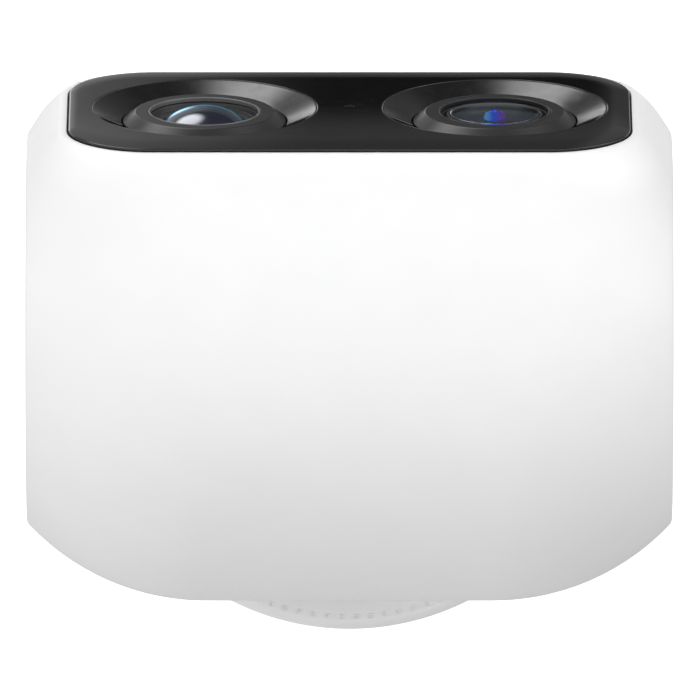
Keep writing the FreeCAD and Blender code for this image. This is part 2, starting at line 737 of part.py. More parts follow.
def tilt_pinion():
    width = TILT_GEAR_FACE[1] - TILT_GEAR_FACE[0]
    wheel = gear(TILT_PINION_TEETH, TILT_MODULE, width, 0)
    toward_gear = math.degrees(math.atan2(*reversed_place(tilt_motor_place()))) + 180
    wheel = turned_about(wheel, Z_AXIS, toward_gear + 180 / TILT_PINION_TEETH)
    motor_y, motor_z = tilt_motor_place()
    wheel = moved(along_x(wheel), TILT_GEAR_FACE[0], motor_y, motor_z)
    shaft = rod_x(1.0, (TILT_GEAR_FACE[0], EAR_OUTER + 3.4), motor_y, motor_z)
    return wheel.fuse(shaft).removeSplitter()


def tilt_motor():
    motor_y, motor_z = tilt_motor_place()
    can = rod_x(10.0, (EAR_OUTER, EAR_OUTER + 13), motor_y, motor_z)
    terminal = box((EAR_OUTER + 3, EAR_OUTER + 10), (motor_y + 8, motor_y + 12), (motor_z - 5, motor_z + 5))
    bore = rod_x(1.0 + SLIDE_CLEARANCE, (EAR_OUTER - 1, EAR_OUTER + 3.6), motor_y, motor_z)
    return fused([can, terminal]).cut(bore)


def tilt_nodes_in_head():
    return {
        "tilt_bracket_left": ear(-1),
        "tilt_bracket_right": ear(1),
        "bracket_screws": bracket_screws(),
        "tilt_bushes": tilt_bushes(),
        "tilt_motor": tilt_motor(),
        "tilt_pinion": tilt_pinion(),
        "tilt_axle": tilt_axle(),
        "axle_clips": axle_clips(),
        "tilt_gear": tilt_gear(),
    }


# ---- Pan stage ---------------------------------------------------------------------------------

def turntable():
    """Rotating disc that carries the neck: journal, gear seat, wide hub and visible flange."""
    body = turned([
        (5.0, 4.8),
        (JOURNAL_RADIUS, 4.8),
        (JOURNAL_RADIUS, 5.7),
        (8.0, 5.7),
        (8.0, 6.7),
        (JOURNAL_RADIUS, 6.7),
        (JOURNAL_RADIUS, 15.0),
        (HUB_RADIUS, 15.0),
        (HUB_RADIUS, 24.0),
        (TURNTABLE_RADIUS, 24.0),
        (TURNTABLE_RADIUS, 28.5),
        (25.0, 28.5),
        (25.0, 29.2),
        (23.8, FLANGE_TOP),
        (5.0, FLANGE_TOP),
    ])
    holes = [rod(YOKE_PILOT, x, y, (20, 40)) for x, y in YOKE_SCREWS]
    return body.cut(Part.makeCompound(holes))


def pan_clip():
    clip = ring(10.6, 8.05, (5.8, 6.6))
    return clip.cut(box((-2.5, 2.5), (-20, 0), (5, 7)))


def pan_gear():
    width = PAN_GEAR_FACE[1] - PAN_GEAR_FACE[0]
    wheel = gear(PAN_GEAR_TEETH, PAN_MODULE, width, HUB_RADIUS + 0.01)
    return moved(turned_about(wheel, Z_AXIS, 180), 0, 0, PAN_GEAR_FACE[0])


def yoke_screws():
    return Part.makeCompound([moved(screw(2.0, 1.4, 1.0, 11.0), x, y, 24.0) for x, y in YOKE_SCREWS])


def tilt_yoke():
    """Core of the neck, with the boss that grips the axle and a channel for the cables."""
    y = -TILT_AXIS_FORWARD
    stem = post_block(10.9, 9.9, 5.0, y, (FLANGE_TOP, TILT_AXIS_HEIGHT))
    boss = rod_x(9.0, (-NECK_WIDTH / 2, NECK_WIDTH / 2), y, TILT_AXIS_HEIGHT)
    body = stem.fuse(boss).removeSplitter()
    cuts = [rod(3.8, 0, y + 3.0, (FLANGE_TOP - 1, 64)), rod_y(3.8, 0, (y + 3, 40), 62)]
    cuts.append(rod_x(AXLE_RADIUS + 0.01, (-40, 40), y, TILT_AXIS_HEIGHT))
    cuts += [rod(YOKE_PILOT, x, screw_y, (20, 36)) for x, screw_y in YOKE_SCREWS]
    return body.cut(Part.makeCompound(cuts))


def neck_sleeve():
    """White sleeve round the yoke, with a small flare where it meets the turntable."""
    y = -TILT_AXIS_FORWARD
    half_w = NECK_WIDTH / 2
    half_d = NECK_DEPTH / 2
    sleeve = post_block(half_w, half_d, 7.0, y, (FLANGE_TOP, NECK_TOP))
    foot = post_block(half_w + 1.4, half_d + 1.4, 8.4, y, (FLANGE_TOP, FLANGE_TOP + 1.4))
    foot = foot.makeChamfer(1.3, [e for e in foot.Edges if e.BoundBox.ZMin > FLANGE_TOP + 1.3])
    hollow = post_block(10.95, 9.95, 5.05, y, (FLANGE_TOP - 1, NECK_TOP + 1))
    return sleeve.fuse(foot).cut(hollow).removeSplitter()


def pan_stage_nodes():
    return {
        "turntable": turntable(),
        "pan_clip": pan_clip(),
        "pan_gear": pan_gear(),
        "yoke_screws": yoke_screws(),
        "tilt_yoke": tilt_yoke(),
        "neck_sleeve": neck_sleeve(),
    }


# ---- Base --------------------------------------------------------------------------------------

def base_housing():
    """Round tub with a floor, a seat for the pan bush and a window for the service flap."""
    inner = BASE_RADIUS - BASE_WALL
    body = ring(BASE_RADIUS, inner, (SEAL_THICKNESS, COVER_SEAM))
    floor = ring(inner + 0.5, 11.0, (FLOOR_BOTTOM, FLOOR_TOP))
    seat = ring(13.5, 11.0, (FLOOR_BOTTOM, COLUMN_TOP))
    columns = ring_of(rod(4.0, 0, 0, (FLOOR_BOTTOM, COLUMN_TOP)), COLUMN_RADIUS, COLUMN_ANGLES)
    board_posts = [rod(2.0, x, y, (FLOOR_TOP - 1, 12)) for x, y in ((33, 14), (33, -14))]
    service_posts = [box((x - 1.5, x + 1.5), (25, 29), (FLOOR_TOP - 1, 10.5)) for x in (-8, 8)]
    body = fused([body, floor, seat] + columns + board_posts + service_posts)
    holes = ring_of(rod(2.7, 0, 0, (0, FLOOR_TOP)), COLUMN_RADIUS, COLUMN_ANGLES)
    holes += ring_of(rod(COLUMN_PILOT, 0, 0, (0, 30)), COLUMN_RADIUS, COLUMN_ANGLES)
    holes.append(rod(6.0, GLAND_X, 0, (0, 12)))
    holes.append(box((-SERVICE_HALF_WIDTH - 0.1, SERVICE_HALF_WIDTH + 0.1), (20, 60),
                     (SERVICE_BOTTOM - 0.1, SERVICE_TOP + 0.1)))
    for side in (-1, 1):
        limits = sorted((side * 36.0, side * (BASE_RADIUS + 1)))
        holes.append(rod_x(1.3, limits, 0, LOCK_SCREW_HEIGHT))
        limits = sorted((side * (BASE_RADIUS - 1.7), side * (BASE_RADIUS + 1)))
        holes.append(rod_x(2.1, limits, 0, LOCK_SCREW_HEIGHT))
    return body.cut(Part.makeCompound(holes))


def base_cover():
    """Top cover with a rounded rim, a ring of fine perforations and four screw bosses."""
    disc = rod(BASE_RADIUS, 0, 0, (COVER_SEAM + 0.2, BASE_HEIGHT))
    rim = [edge for edge in disc.Edges if edge.BoundBox.ZMin > BASE_HEIGHT - 0.1]
    disc = disc.makeFillet(BASE_EDGE_RADIUS, rim)
    disc = disc.cut(rod(BASE_RADIUS - BASE_WALL, 0, 0, (0, BASE_HEIGHT - BASE_WALL)))
    disc = disc.cut(rod(TURNTABLE_RADIUS + 0.2, 0, 0, (0, 40)))
    boss = rod(3.0, 0, 0, (COLUMN_TOP, BASE_HEIGHT - BASE_WALL))
    disc = fused([disc] + ring_of(boss, COLUMN_RADIUS, COLUMN_ANGLES))
    half_l = PERFORATION_LENGTH / 2
    half_w = PERFORATION_WIDTH / 2
    slot = box((-half_l, half_l), (-half_w, half_w), (BASE_HEIGHT - 1.0, BASE_HEIGHT + 1))
    step = 360 / PERFORATION_COUNT
    cuts = ring_of(slot, PERFORATION_RADIUS, [index * step for index in range(PERFORATION_COUNT)])
    cuts += ring_of(rod(COLUMN_PILOT, 0, 0, (0, 20.5)), COLUMN_RADIUS, COLUMN_ANGLES)
    return disc.cut(Part.makeCompound(cuts))


def wall_plate():
    """Steel plate that is screwed to a wall or eave first; two lugs lock the housing to it."""
    plate = rod(39.6, 0, 0, (0, 1.5))
    lugs = [box(sorted((side * 37.9, side * 39.4)), (-5, 5), (1.0, 5.6)) for side in (-1, 1)]
    plate = fused([plate] + lugs)
    cuts = ring_of(rod(WALL_HOLE_RADIUS, 0, 0, (-1, 3)), WALL_HOLE_CIRCLE / 2, COLUMN_ANGLES)
    cuts.append(rod(CABLE_HOLE_RADIUS, GLAND_X, 0, (-1, 3)))
    cuts.append(rod_x(1.05, (-45, 45), 0, LOCK_SCREW_HEIGHT))
    return plate.cut(Part.makeCompound(cuts))


def lock_screws():
    both = []
    for side in (-1, 1):
        inward = turned_about(screw(2.0, 1.3, 1.0, 6.4), Y_AXIS, -90 * side)
        both.append(moved(inward, side * (BASE_RADIUS - 1.7), 0, LOCK_SCREW_HEIGHT))
    return Part.makeCompound(both)


def cover_screws():
    one = moved(screw(2.5, 1.8, 1.25, 12.0), 0, 0, FLOOR_TOP)
    return Part.makeCompound(ring_of(one, COLUMN_RADIUS, COLUMN_ANGLES))


def cable_gland():
    """Rubber grommet in the floor that grips the supply cable."""
    body = turned([
        (GLAND_BORE, 4.4),
        (7.5, 4.4),
        (7.5, FLOOR_BOTTOM),
        (6.0, FLOOR_BOTTOM),
        (6.0, FLOOR_TOP),
        (7.2, FLOOR_TOP),
        (6.2, 10.0),
        (GLAND_BORE, 10.0),
    ])
    return moved(body, GLAND_X, 0, 0)


def power_board():
    """Ring-sector board with its transformer, capacitors and coil."""
    sector = ring(41.5, 24.0, (12.0, 13.4))
    limit = math.radians(33)
    corner = Vector(60 * math.cos(limit), 60 * math.sin(limit), 11)
    mirror = Vector(corner.x, -corner.y, 11)
    centre = Vector(0, 0, 11)
    wedge = Part.Face(Part.makePolygon([centre, mirror, Vector(90, 0, 11), corner, centre]))
    sector = sector.common(wedge.extrude(Vector(0, 0, 4)))
    transformer = box((26, 36), (-5, 5), (13.4, 21.5))
    capacitors = [rod(3.4, 33, y, (13.4, 21.0)) for y in (-11.5, 11.5)]
    return fused([sector, transformer] + capacitors)


def pan_bush():
    tube = ring(11.0, JOURNAL_RADIUS + SLIDE_CLEARANCE, (6.8, COLUMN_TOP))
    flange = ring(13.4, JOURNAL_RADIUS + SLIDE_CLEARANCE, (COLUMN_TOP, 15.0))
    return tube.fuse(flange).removeSplitter()


def pan_centre_distance():
    return PAN_MODULE * (PAN_GEAR_TEETH + PAN_PINION_TEETH) / 2 + 0.05


def pan_motor():
    x = -pan_centre_distance()
    can = rod(11.0, x, 0, (FLOOR_TOP, 15.2))
    return can.cut(rod(1.2 + SLIDE_CLEARANCE, x, 0, (9.3, 16)))


def pan_pinion():
    width = PAN_GEAR_FACE[1] - PAN_GEAR_FACE[0]
    wheel = gear(PAN_PINION_TEETH, PAN_MODULE, width, 0)
    wheel = turned_about(wheel, Z_AXIS, 180 / PAN_PINION_TEETH)
    x = -pan_centre_distance()
    shaft = rod(1.2, x, 0, (9.5, PAN_GEAR_FACE[1]))
    return moved(wheel, x, 0, PAN_GEAR_FACE[0]).fuse(shaft).removeSplitter()


def speaker():
    case = box((-13, 13), (SPEAKER_Y - 8.5, SPEAKER_Y + 8.5), (FLOOR_TOP, 22))
    uprights = [edge for edge in case.Edges if edge.BoundBox.ZLength > 5]
    case = case.makeFillet(3.0, uprights)
    cone_wall = rod(7.4, 0, SPEAKER_Y, (21.5, 23)).cut(rod(6.0, 0, SPEAKER_Y, (21, 24)))
    return case.fuse(cone_wall).cut(rod(6.0, 0, SPEAKER_Y, (20.6, 23)))


def speaker_gasket():
    outer = rod(8.2, 0, SPEAKER_Y, (23, BASE_HEIGHT - BASE_WALL))
    return outer.cut(rod(6.4, 0, SPEAKER_Y, (20, 40)))


def service_panel():
    """Open tray behind the flap, with the card slot and the reset button's hole."""
    inside = BASE_RADIUS - BASE_WALL - 0.05
    tray = box((-11, 11), (RECESS_BACK - 1.5, 50), (8.6, 20.4))
    tray = tray.common(rod(inside, 0, 0, (0, 30)))
    tray = tray.cut(box((-9.8, 9.8), (RECESS_BACK, 60), (9.4, 19.6)))
    slot = box((-8.2, 3.2), (30, 60), (11.9, 13.3))
    return tray.cut(slot).cut(rod_y(1.25, RESET_X, (30, 60), RESET_Z))


def service_board():
    board = box((-12, 12), (24.2, RECESS_BACK - 1.6), (10.5, 11.7))
    switch = box((RESET_X - 2, RESET_X + 2), (30, 34.3), (11.7, 15.2))
    return board.fuse(switch).removeSplitter()


def card_socket():
    shell = box((-8.5, 3.5), (26, RECESS_BACK - 1.6), (11.7, 13.6))
    return shell.cut(box((-8.0, 3.0), (27, 60), (12.1, 13.2)))


def reset_button():
    return rod_y(1.2, RESET_X, (34.9, RECESS_BACK + 0.7), RESET_Z)


def service_flap():
    """Curved flap flush with the base's wall, hinged on its outer lower edge."""
    shell = ring(BASE_RADIUS, BASE_RADIUS - 1.8, (SERVICE_BOTTOM, SERVICE_TOP))
    return shell.common(box((-SERVICE_HALF_WIDTH, SERVICE_HALF_WIDTH), (0, 60), (0, 40)))


def base_nodes():
    return {
        "wall_plate": wall_plate(),
        "seal_ring": ring(45.0, 42.9, (0, SEAL_THICKNESS)),
        "base_housing": base_housing(),
        "base_cover": base_cover(),
        "cover_screws": cover_screws(),
        "lock_screws": lock_screws(),
        "cable_gland": cable_gland(),
        "power_board": power_board(),
        "terminal_block": box((36.5, 41), (-5, 5), (13.4, 20)),
        "speaker": speaker(),
        "speaker_gasket": speaker_gasket(),
        "pan_motor": pan_motor(),
        "pan_bush": pan_bush(),
        "pan_pinion": pan_pinion(),
        "service_panel": service_panel(),
        "service_board": service_board(),
        "card_socket": card_socket(),
        "reset_button": reset_button(),
        "service_flap": service_flap(),
    }


# ---- Export ------------------------------------------------------------------------------------

def all_nodes():
    nodes = {}
    for group in (head_shells(), face_nodes(), electronics(), tilt_nodes_in_head()):
        for name, shape in group.items():
            nodes[name] = in_head(shape)
    nodes.update(pan_stage_nodes())
    nodes.update(base_nodes())
    return nodes


def main():
    os.makedirs("parts", exist_ok=True)
    for name, shape in all_nodes().items():
        shape.exportStep("parts/" + name + ".step")
        solids = len(shape.Solids)
        print(f"{name:22s} solids {solids:2d}  volume {shape.Volume:10.1f}  valid {shape.isValid()}")


main()
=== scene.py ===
import json
import math

import bmesh
import bpy
from mathutils import Matrix, Vector


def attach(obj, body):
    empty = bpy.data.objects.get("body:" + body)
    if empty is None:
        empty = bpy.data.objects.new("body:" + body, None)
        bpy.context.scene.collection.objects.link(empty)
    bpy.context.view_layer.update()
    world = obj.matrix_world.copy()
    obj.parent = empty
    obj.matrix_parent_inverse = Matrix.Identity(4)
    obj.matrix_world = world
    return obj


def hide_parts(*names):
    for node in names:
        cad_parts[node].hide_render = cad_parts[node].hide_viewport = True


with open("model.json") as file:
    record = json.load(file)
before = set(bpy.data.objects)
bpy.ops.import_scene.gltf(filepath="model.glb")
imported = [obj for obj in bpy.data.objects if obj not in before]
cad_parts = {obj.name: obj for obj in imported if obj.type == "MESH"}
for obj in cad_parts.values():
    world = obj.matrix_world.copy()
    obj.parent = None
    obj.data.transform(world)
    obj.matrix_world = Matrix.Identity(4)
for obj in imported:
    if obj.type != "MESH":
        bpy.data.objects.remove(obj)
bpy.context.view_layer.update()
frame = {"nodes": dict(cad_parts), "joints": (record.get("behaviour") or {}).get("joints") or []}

MM = 0.001

# (side, rise) of each quarter of the face, going round from +X towards +Z.
CORNERS = ((1, 1), (-1, 1), (-1, -1), (1, -1))

# The head is modelled level, with the tilt axis as its origin, then leaned back to its rest tilt.
REST_TILT = math.radians(15)
TILT_AXIS = next(Vector(joint["pos_m"]) for joint in frame["joints"] if joint["name"] == "tilt")
HEAD = Matrix.Translation(TILT_AXIS) @ Matrix.Rotation(-REST_TILT, 4, "X")

# Head form in millimetres. The drum is a short fat core about the tilt axis, grown by a large
# radius. The snout is a rounded rectangle, grown by a smaller one. The head is their smooth hull,
# cut flat at both sides and in front.
HEAD_HALF = 55.0
FACE_FRONT = 39.2
SHELL_FRONT = 38.4
DRUM_GROWTH = 41.3
DRUM_CORE = 4.7
DRUM_HALF = 24.6
SNOUT_GROWTH = 16.4
SNOUT_FRONT = 25.26
SNOUT_HALF_WIDTH = 33.6
SNOUT_HALF_HEIGHT = 12.05
SNOUT_CORNER = 5.86
CREASE_WIDTH = 0.8
SHELL_WALL = 2.4
RECESS_DEPTH = 2.4
PANEL_GAP = 0.35
SEAM_HEIGHT = -13.0
SEAM_RISE = 0.2
SEAM_GAP = 0.4
EDGE_ROUND = 0.16
SLOT_HALF_WIDTH = 14.0
SLOT_FRONT_ANGLE = math.radians(-47.1)
SLOT_BACK_ANGLE = math.radians(77.1)
SHELL_SCREW_X = 48.6
SHELL_SCREW_Y = 18.0
SCREW_HOLE_RADIUS = 2.75
SCREW_BOSS_RADIUS = 4.2
SCREW_SEAT = -27.0
SCREW_BOSS_TOP = -25.5
BELOW_HEAD = -45.0

# Face panel in millimetres. Its front is flat, with a gentle crown along the edges.
PANEL_HALF_WIDTH = 47.75
PANEL_HALF_HEIGHT = 26.2
PANEL_CORNER = 14.15
PANEL_THICKNESS = 2.4
PANEL_ROUND = 0.25
HOLE_ROUND = 0.12
HOLE_CLEARANCE = 0.05
CROWN_DROP = 0.30
FLAT_HALF_WIDTH = 44.15
FLAT_HALF_HEIGHT = 20.15
FLAT_CORNER = 9.0
MICROPHONE_RADIUS = 0.8
MICROPHONE_LOWERING = 1.3

# Lenses in millimetres, each about its own axis. Distances run forward from the tilt axis.
LENS_X = 24.7
LENS_LOWERING = 0.7
FUNNEL_RADIUS = 19.15
FUNNEL_INNER = 14.1
FUNNEL_DEPTH = 2.3
FUNNEL_LIP = 18.5
FUNNEL_BACK = 35.2
RELIEF_FRONT = 36.1
RELIEF_HALF_ANGLE = math.radians(77.5)
RELIEF_ROUND = 0.25
COLLAR_FRONT = 38.5
COLLAR_RADIUS = 11.8
SKIRT_RADIUS = 13.9
BARREL_RADIUS = 12.8
BARREL_BORE = 9.6
BARREL_BACK = 22.0
FLANGE_RADIUS = 16.0
FLANGE_FRONT = 30.5
FLANGE_BACK = 28.5
INNER_BORE = 8.2
INNER_SEAT = 25.0
APERTURE = 5.0
GLASS_SEAT = 34.6
CELL_RADIUS = 9.55
RIM_INNER = 9.22
RIM_BACK = 37.8
RIM_FRONT = 38.6
WIDE_LENS = {"radius": 7.0, "back": 35.6, "edge": 36.8, "curve": 10.8, "lip": 36.9}
TELE_LENS = {"radius": 7.65, "back": 33.4, "edge": 38.3, "curve": 50.0, "lip": 38.1}
GLASS_ROUND = 0.22
PUPIL_RADIUS = 1.7
PUPIL_FOOT = 33.7
PUPIL_HEIGHT = 4.2
IRIS_RADIUS = 7.6

# Base cover in millimetres, about the pan axis.
BASE_RADIUS = 45.2
BASE_EDGE_WIDTH = 1.76
BASE_EDGE_DROP = 1.8
COVER_BOTTOM = 22.2
COVER_TOP = 28.0
COVER_WALL = 2.4
COVER_HOLE = 22.1
MARK_RADIUS = 43.0
MARK_COUNT = 110
MARK_WIDTH = 0.75
DASH_LENGTH = 0.13
DASH_PITCH = 0.34
DASH_DEPTH = 0.09

# Points along each rounded corner of a turned profile.
CORNER_POINTS = 5

# Limits for the mesh work in millimetres: what counts as on the axis, as on a cutting plane, and
# as one point.
ON_AXIS = 1e-6
ON_PLANE = 0.02
SAME_POINT = 0.002


# ---- Mesh helpers --------------------------------------------------------------------------------

def object_from(bm, name, to_world=HEAD):
    """A new smooth object from a bmesh in millimetres, placed in the world."""
    bm.transform(to_world @ Matrix.Scale(MM, 4))
    bmesh.ops.recalc_face_normals(bm, faces=bm.faces)
    mesh = bpy.data.meshes.new(name)
    bm.to_mesh(mesh)
    bm.free()
    mesh.shade_smooth()
    obj = bpy.data.objects.new(name, mesh)
    bpy.context.scene.collection.objects.link(obj)
    return obj


def add_bevel(obj, width, angle):
    """Round the edges that turn by more than an angle."""
    bevel = obj.modifiers.new("soft_edges", "BEVEL")
    bevel.width = width * MM
    bevel.segments = 2
    bevel.limit_method = "ANGLE"
    bevel.angle_limit = math.radians(angle)


def apply_modifiers(obj):
    """Bake an object's modifiers into its mesh."""
    graph = bpy.context.evaluated_depsgraph_get()
    mesh = bpy.data.meshes.new_from_object(obj.evaluated_get(graph))
    obj.modifiers.clear()
    obj.data = mesh


def weigh_normals(obj):
    """Let the broad faces set the shading, so that flats look flat up to their rounded edges."""
    weights = obj.modifiers.new("weighted_normals", "WEIGHTED_NORMAL")
    weights.mode = "FACE_AREA"
    weights.keep_sharp = True


def bridge(bm, loop, following):
    """Faces between two closed loops that have the same number of corners."""
    count = len(loop)
    for k in range(count):
        corners = (loop[k], loop[(k + 1) % count], following[(k + 1) % count], following[k])
        corners = list(dict.fromkeys(corners))
        if len(corners) > 2:
            bm.faces.new(corners)


def closed_edges(bm, loop):
    """Edges of a closed loop, made where they don't exist yet."""
    edges = []
    for first, second in zip(loop, loop[1:] + loop[:1]):
        edges.append(bm.edges.get((first, second)) or bm.edges.new((first, second)))
    return edges


def lathe(profile, place, steps=128):
    """Solid turned from a closed profile. place(radius, along, angle) gives each point."""
    bm = bmesh.new()
    loops = []
    for radius, along in profile:
        if radius < ON_AXIS:
            loops.append([bm.verts.new(place(0, along, 0))] * steps)
        else:
            loops.append([bm.verts.new(place(radius, along, 2 * math.pi * k / steps))
                          for k in range(steps)])
    for loop, following in zip(loops, loops[1:] + loops[:1]):
        bridge(bm, loop, following)
    return bm


def rounded(profile, radius):
    """Closed profile with each corner rounded as CORNER_POINTS points, apart from those on the axis."""
    steps = CORNER_POINTS - 1
    points = []
    for index, corner in enumerate(profile):
        here = Vector(corner)
        if here.x < ON_AXIS:
            points.append(here)
            continue
        to_before = Vector(profile[index - 1]) - here
        to_after = Vector(profile[(index + 1) % len(profile)]) - here
        reach = min(radius, to_before.length * 0.45, to_after.length * 0.45)
        start = here + to_before.normalized() * reach
        end = here + to_after.normalized() * reach
        for step in range(steps + 1):
            t = step / steps
            points.append(start * (1 - t) ** 2 + here * (2 * t * (1 - t)) + end * t ** 2)
    return points


def about_lens(x):
    """Places turned points about the lens axis at x, in the level head frame."""
    def place(radius, along, angle):
        return Vector((x + radius * math.sin(angle), -along,
                       radius * math.cos(angle) - LENS_LOWERING))
    return place


def about_pan(radius, along, angle):
    """Place of a turned point about the upright pan axis."""
    return Vector((radius * math.cos(angle), radius * math.sin(angle), along))


def add_piece(bm, name, body, material, replaced=None, to_world=HEAD):
    """Finish a piece: shading, body, finish and the CAD node that it stands for."""
    obj = object_from(bm, name, to_world=to_world)
    weigh_normals(obj)
    obj.data.materials.append(material)
    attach(obj, body)
    if replaced:
        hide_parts(replaced)
    return obj


# ---- Head shells ---------------------------------------------------------------------------------

def drum_point(u, side):
    """Point of the drum whose outward normal is u, on the given side of the middle."""
    across = math.hypot(u.y, u.z)
    core = Vector((side * DRUM_HALF, DRUM_CORE * u.y / across, DRUM_CORE * u.z / across))
    return core + DRUM_GROWTH * u


def snout_point(u, side, rise):
    """Point of the snout whose outward normal is u, in the given corner of the face."""
    across = math.hypot(u.x, u.z)
    core = Vector((side * SNOUT_HALF_WIDTH, -SNOUT_FRONT, rise * SNOUT_HALF_HEIGHT))
    return core + Vector((u.x, 0, u.z)) * (SNOUT_CORNER / across) + SNOUT_GROWTH * u


def direction(from_front, around):
    """Unit vector at an angle from the forward direction, turned around it from +X to +Z."""
    ring = math.sin(from_front)
    return Vector((ring * math.cos(around), -math.cos(from_front), ring * math.sin(around)))


def tangent_angle(around, side, rise):
    """Angle from forward where the snout's surface hands over to the drum's."""
    low, high = math.radians(33), math.radians(95)
    halvings = 40
    for _ in range(halvings):
        middle = (low + high) / 2
        u = direction(middle, around)
        if u.dot(snout_point(u, side, rise)) > u.dot(drum_point(u, side)):
            low = middle
        else:
            high = middle
    return low


def head_columns():
    """(angle around, side, rise) of each column of the head's surface, once round the face."""
    quarter_steps = 24
    columns = []
    for quarter, (side, rise) in enumerate(CORNERS):
        start = quarter * math.pi / 2
        for step in range(quarter_steps + 1):
            columns.append((start + math.pi / 2 * step / quarter_steps, side, rise))
    return columns


def head_surface():
    """Outer surface of the head as a bmesh, open at the face."""
    start = math.acos((SHELL_FRONT - SNOUT_FRONT) / SNOUT_GROWTH)
    snout_rows, drum_rows, strip_rows, strip_columns = 10, 44, 4, 12
    wide_gap = 8
    lines = []
    for around, side, rise in head_columns():
        handover = tangent_angle(around, side, rise)
        line = []
        for row in range(snout_rows + 1):
            u = direction(start + (handover - start) * row / snout_rows, around)
            line.append(snout_point(u, side, rise))
        u = direction(handover, around)
        first, last = snout_point(u, side, rise), drum_point(u, side)
        line += [first.lerp(last, row / strip_rows) for row in range(1, strip_rows)]
        for row in range(drum_rows + 1):
            u = direction(handover + (math.pi - handover) * row / drum_rows, around)
            line.append(drum_point(u, side))
        lines.append(line)
    grid = []
    for index, line in enumerate(lines):
        grid.append(line)
        following = lines[(index + 1) % len(lines)]
        gap = max((a - b).length for a, b in zip(line, following))
        if gap > wide_gap:
            for step in range(1, strip_columns):
                share = step / strip_columns
                grid.append([a.lerp(b, share) for a, b in zip(line, following)])
    bm = bmesh.new()
    rows = [[bm.verts.new(point) for point in line] for line in grid]
    for index, line in enumerate(rows):
        following = rows[(index + 1) % len(rows)]
        for k in range(len(line) - 1):
            bm.faces.new((line[k], following[k], following[k + 1], line[k + 1]))
    bmesh.ops.remove_doubles(bm, verts=bm.verts, dist=SAME_POINT)
    bmesh.ops.recalc_face_normals(bm, faces=bm.faces)
    return bm


def cut(bm, point, normal, clear=True):
    """Cut the mesh by a plane. With clear, what lies on the normal's side goes."""
    geometry = bm.verts[:] + bm.edges[:] + bm.faces[:]
    bmesh.ops.bisect_plane(bm, geom=geometry, dist=ON_PLANE, plane_co=point, plane_no=normal,
                           clear_outer=clear)


def flatten_sides(bm):
    """Press both ends of the drum flat, with a narrow rounded crease round each end."""
    start = HEAD_HALF - CREASE_WIDTH / 2
    steps = 4
    for side in (-1, 1):
        for step in range(steps + 1):
            x = start + CREASE_WIDTH * step / steps
            cut(bm, (side * x, 0, 0), (side, 0, 0), clear=False)
    for vert in bm.verts:
        beyond = min(max((abs(vert.co.x) - start) / CREASE_WIDTH, 0.0), 1.0)
        if beyond > 0:
            pressed = start + CREASE_WIDTH * (beyond - beyond ** 2 / 2)
            vert.co.x = math.copysign(pressed, vert.co.x)


def turn_in_face_rim(bm):
    """Close the front with a narrow flat rim, then fold it straight back as the panel's recess."""
    edges = [edge for edge in bm.edges if edge.is_boundary]
    for depth in (0.0, RECESS_DEPTH):
        done = bmesh.ops.extrude_edge_only(bm, edges=edges)
        verts = [item for item in done["geom"] if isinstance(item, bmesh.types.BMVert)]
        edges = [item for item in done["geom"] if isinstance(item, bmesh.types.BMEdge)]
        for vert in verts:
            if depth == 0.0:
                vert.co.x, vert.co.z = panel_limit(vert.co.x, vert.co.z)
            vert.co.y += depth


def panel_limit(x, z):
    """Nearest point on the outline of the panel's recess."""
    half_width = PANEL_HALF_WIDTH + PANEL_GAP
    half_height = PANEL_HALF_HEIGHT + PANEL_GAP
    corner = PANEL_CORNER + PANEL_GAP
    centre = Vector((min(max(x, corner - half_width), half_width - corner),
                     min(max(z, corner - half_height), half_height - corner)))
    outward = Vector((x, z)) - centre
    point = centre + outward.normalized() * corner
    return point.x, point.y


def cut_neck_slot(bm):
    """Open the slot that the neck passes along as the head tilts."""
    for side in (-1, 1):
        cut(bm, (side * SLOT_HALF_WIDTH, 0, 0), (side, 0, 0), clear=False)
    for angle in (SLOT_FRONT_ANGLE, SLOT_BACK_ANGLE):
        normal = (0, math.cos(angle), math.sin(angle))
        cut(bm, (0, 0, 0), normal, clear=False)
    inside = []
    for face in bm.faces:
        middle = face.calc_center_median()
        angle = math.atan2(middle.y, -middle.z)
        if abs(middle.x) < SLOT_HALF_WIDTH and SLOT_FRONT_ANGLE < angle < SLOT_BACK_ANGLE:
            inside.append(face)
    bmesh.ops.delete(bm, geom=inside, context="FACES")


def shell_half(name, upper):
    """One of the two head shells, with its real wall. Its modifiers aren't applied yet."""
    bm = head_surface()
    flatten_sides(bm)
    turn_in_face_rim(bm)
    away = -1 if upper else 1
    edge = SEAM_HEIGHT - away * SEAM_GAP / 2
    cut(bm, (0, 0, edge), Vector((0, -SEAM_RISE, 1)) * away)
    if not upper:
        cut_neck_slot(bm)
    obj = object_from(bm, name)
    wall = obj.modifiers.new("wall", "SOLIDIFY")
    wall.thickness = SHELL_WALL * MM
    wall.offset = -1
    wall.use_even_offset = False
    add_bevel(obj, EDGE_ROUND, 50)
    return obj


def screw_posts(radius, low, high, name):
    """Four upright posts in one object, at the places of the shell screws."""
    bm = bmesh.new()
    for side in (-1, 1):
        for end in (-1, 1):
            place = Matrix.Translation((side * SHELL_SCREW_X, end * SHELL_SCREW_Y, (low + high) / 2))
            bmesh.ops.create_cone(bm, cap_ends=True, segments=40, radius1=radius, radius2=radius,
                                  depth=high - low, matrix=place)
    return object_from(bm, name)


def combine(obj, other, operation):
    """Boolean with another object, which is used up."""
    boolean = obj.modifiers.new(operation.lower(), "BOOLEAN")
    boolean.operation = operation
    boolean.solver = "MANIFOLD"
    boolean.object = other
    apply_modifiers(obj)
    bpy.data.objects.remove(other)


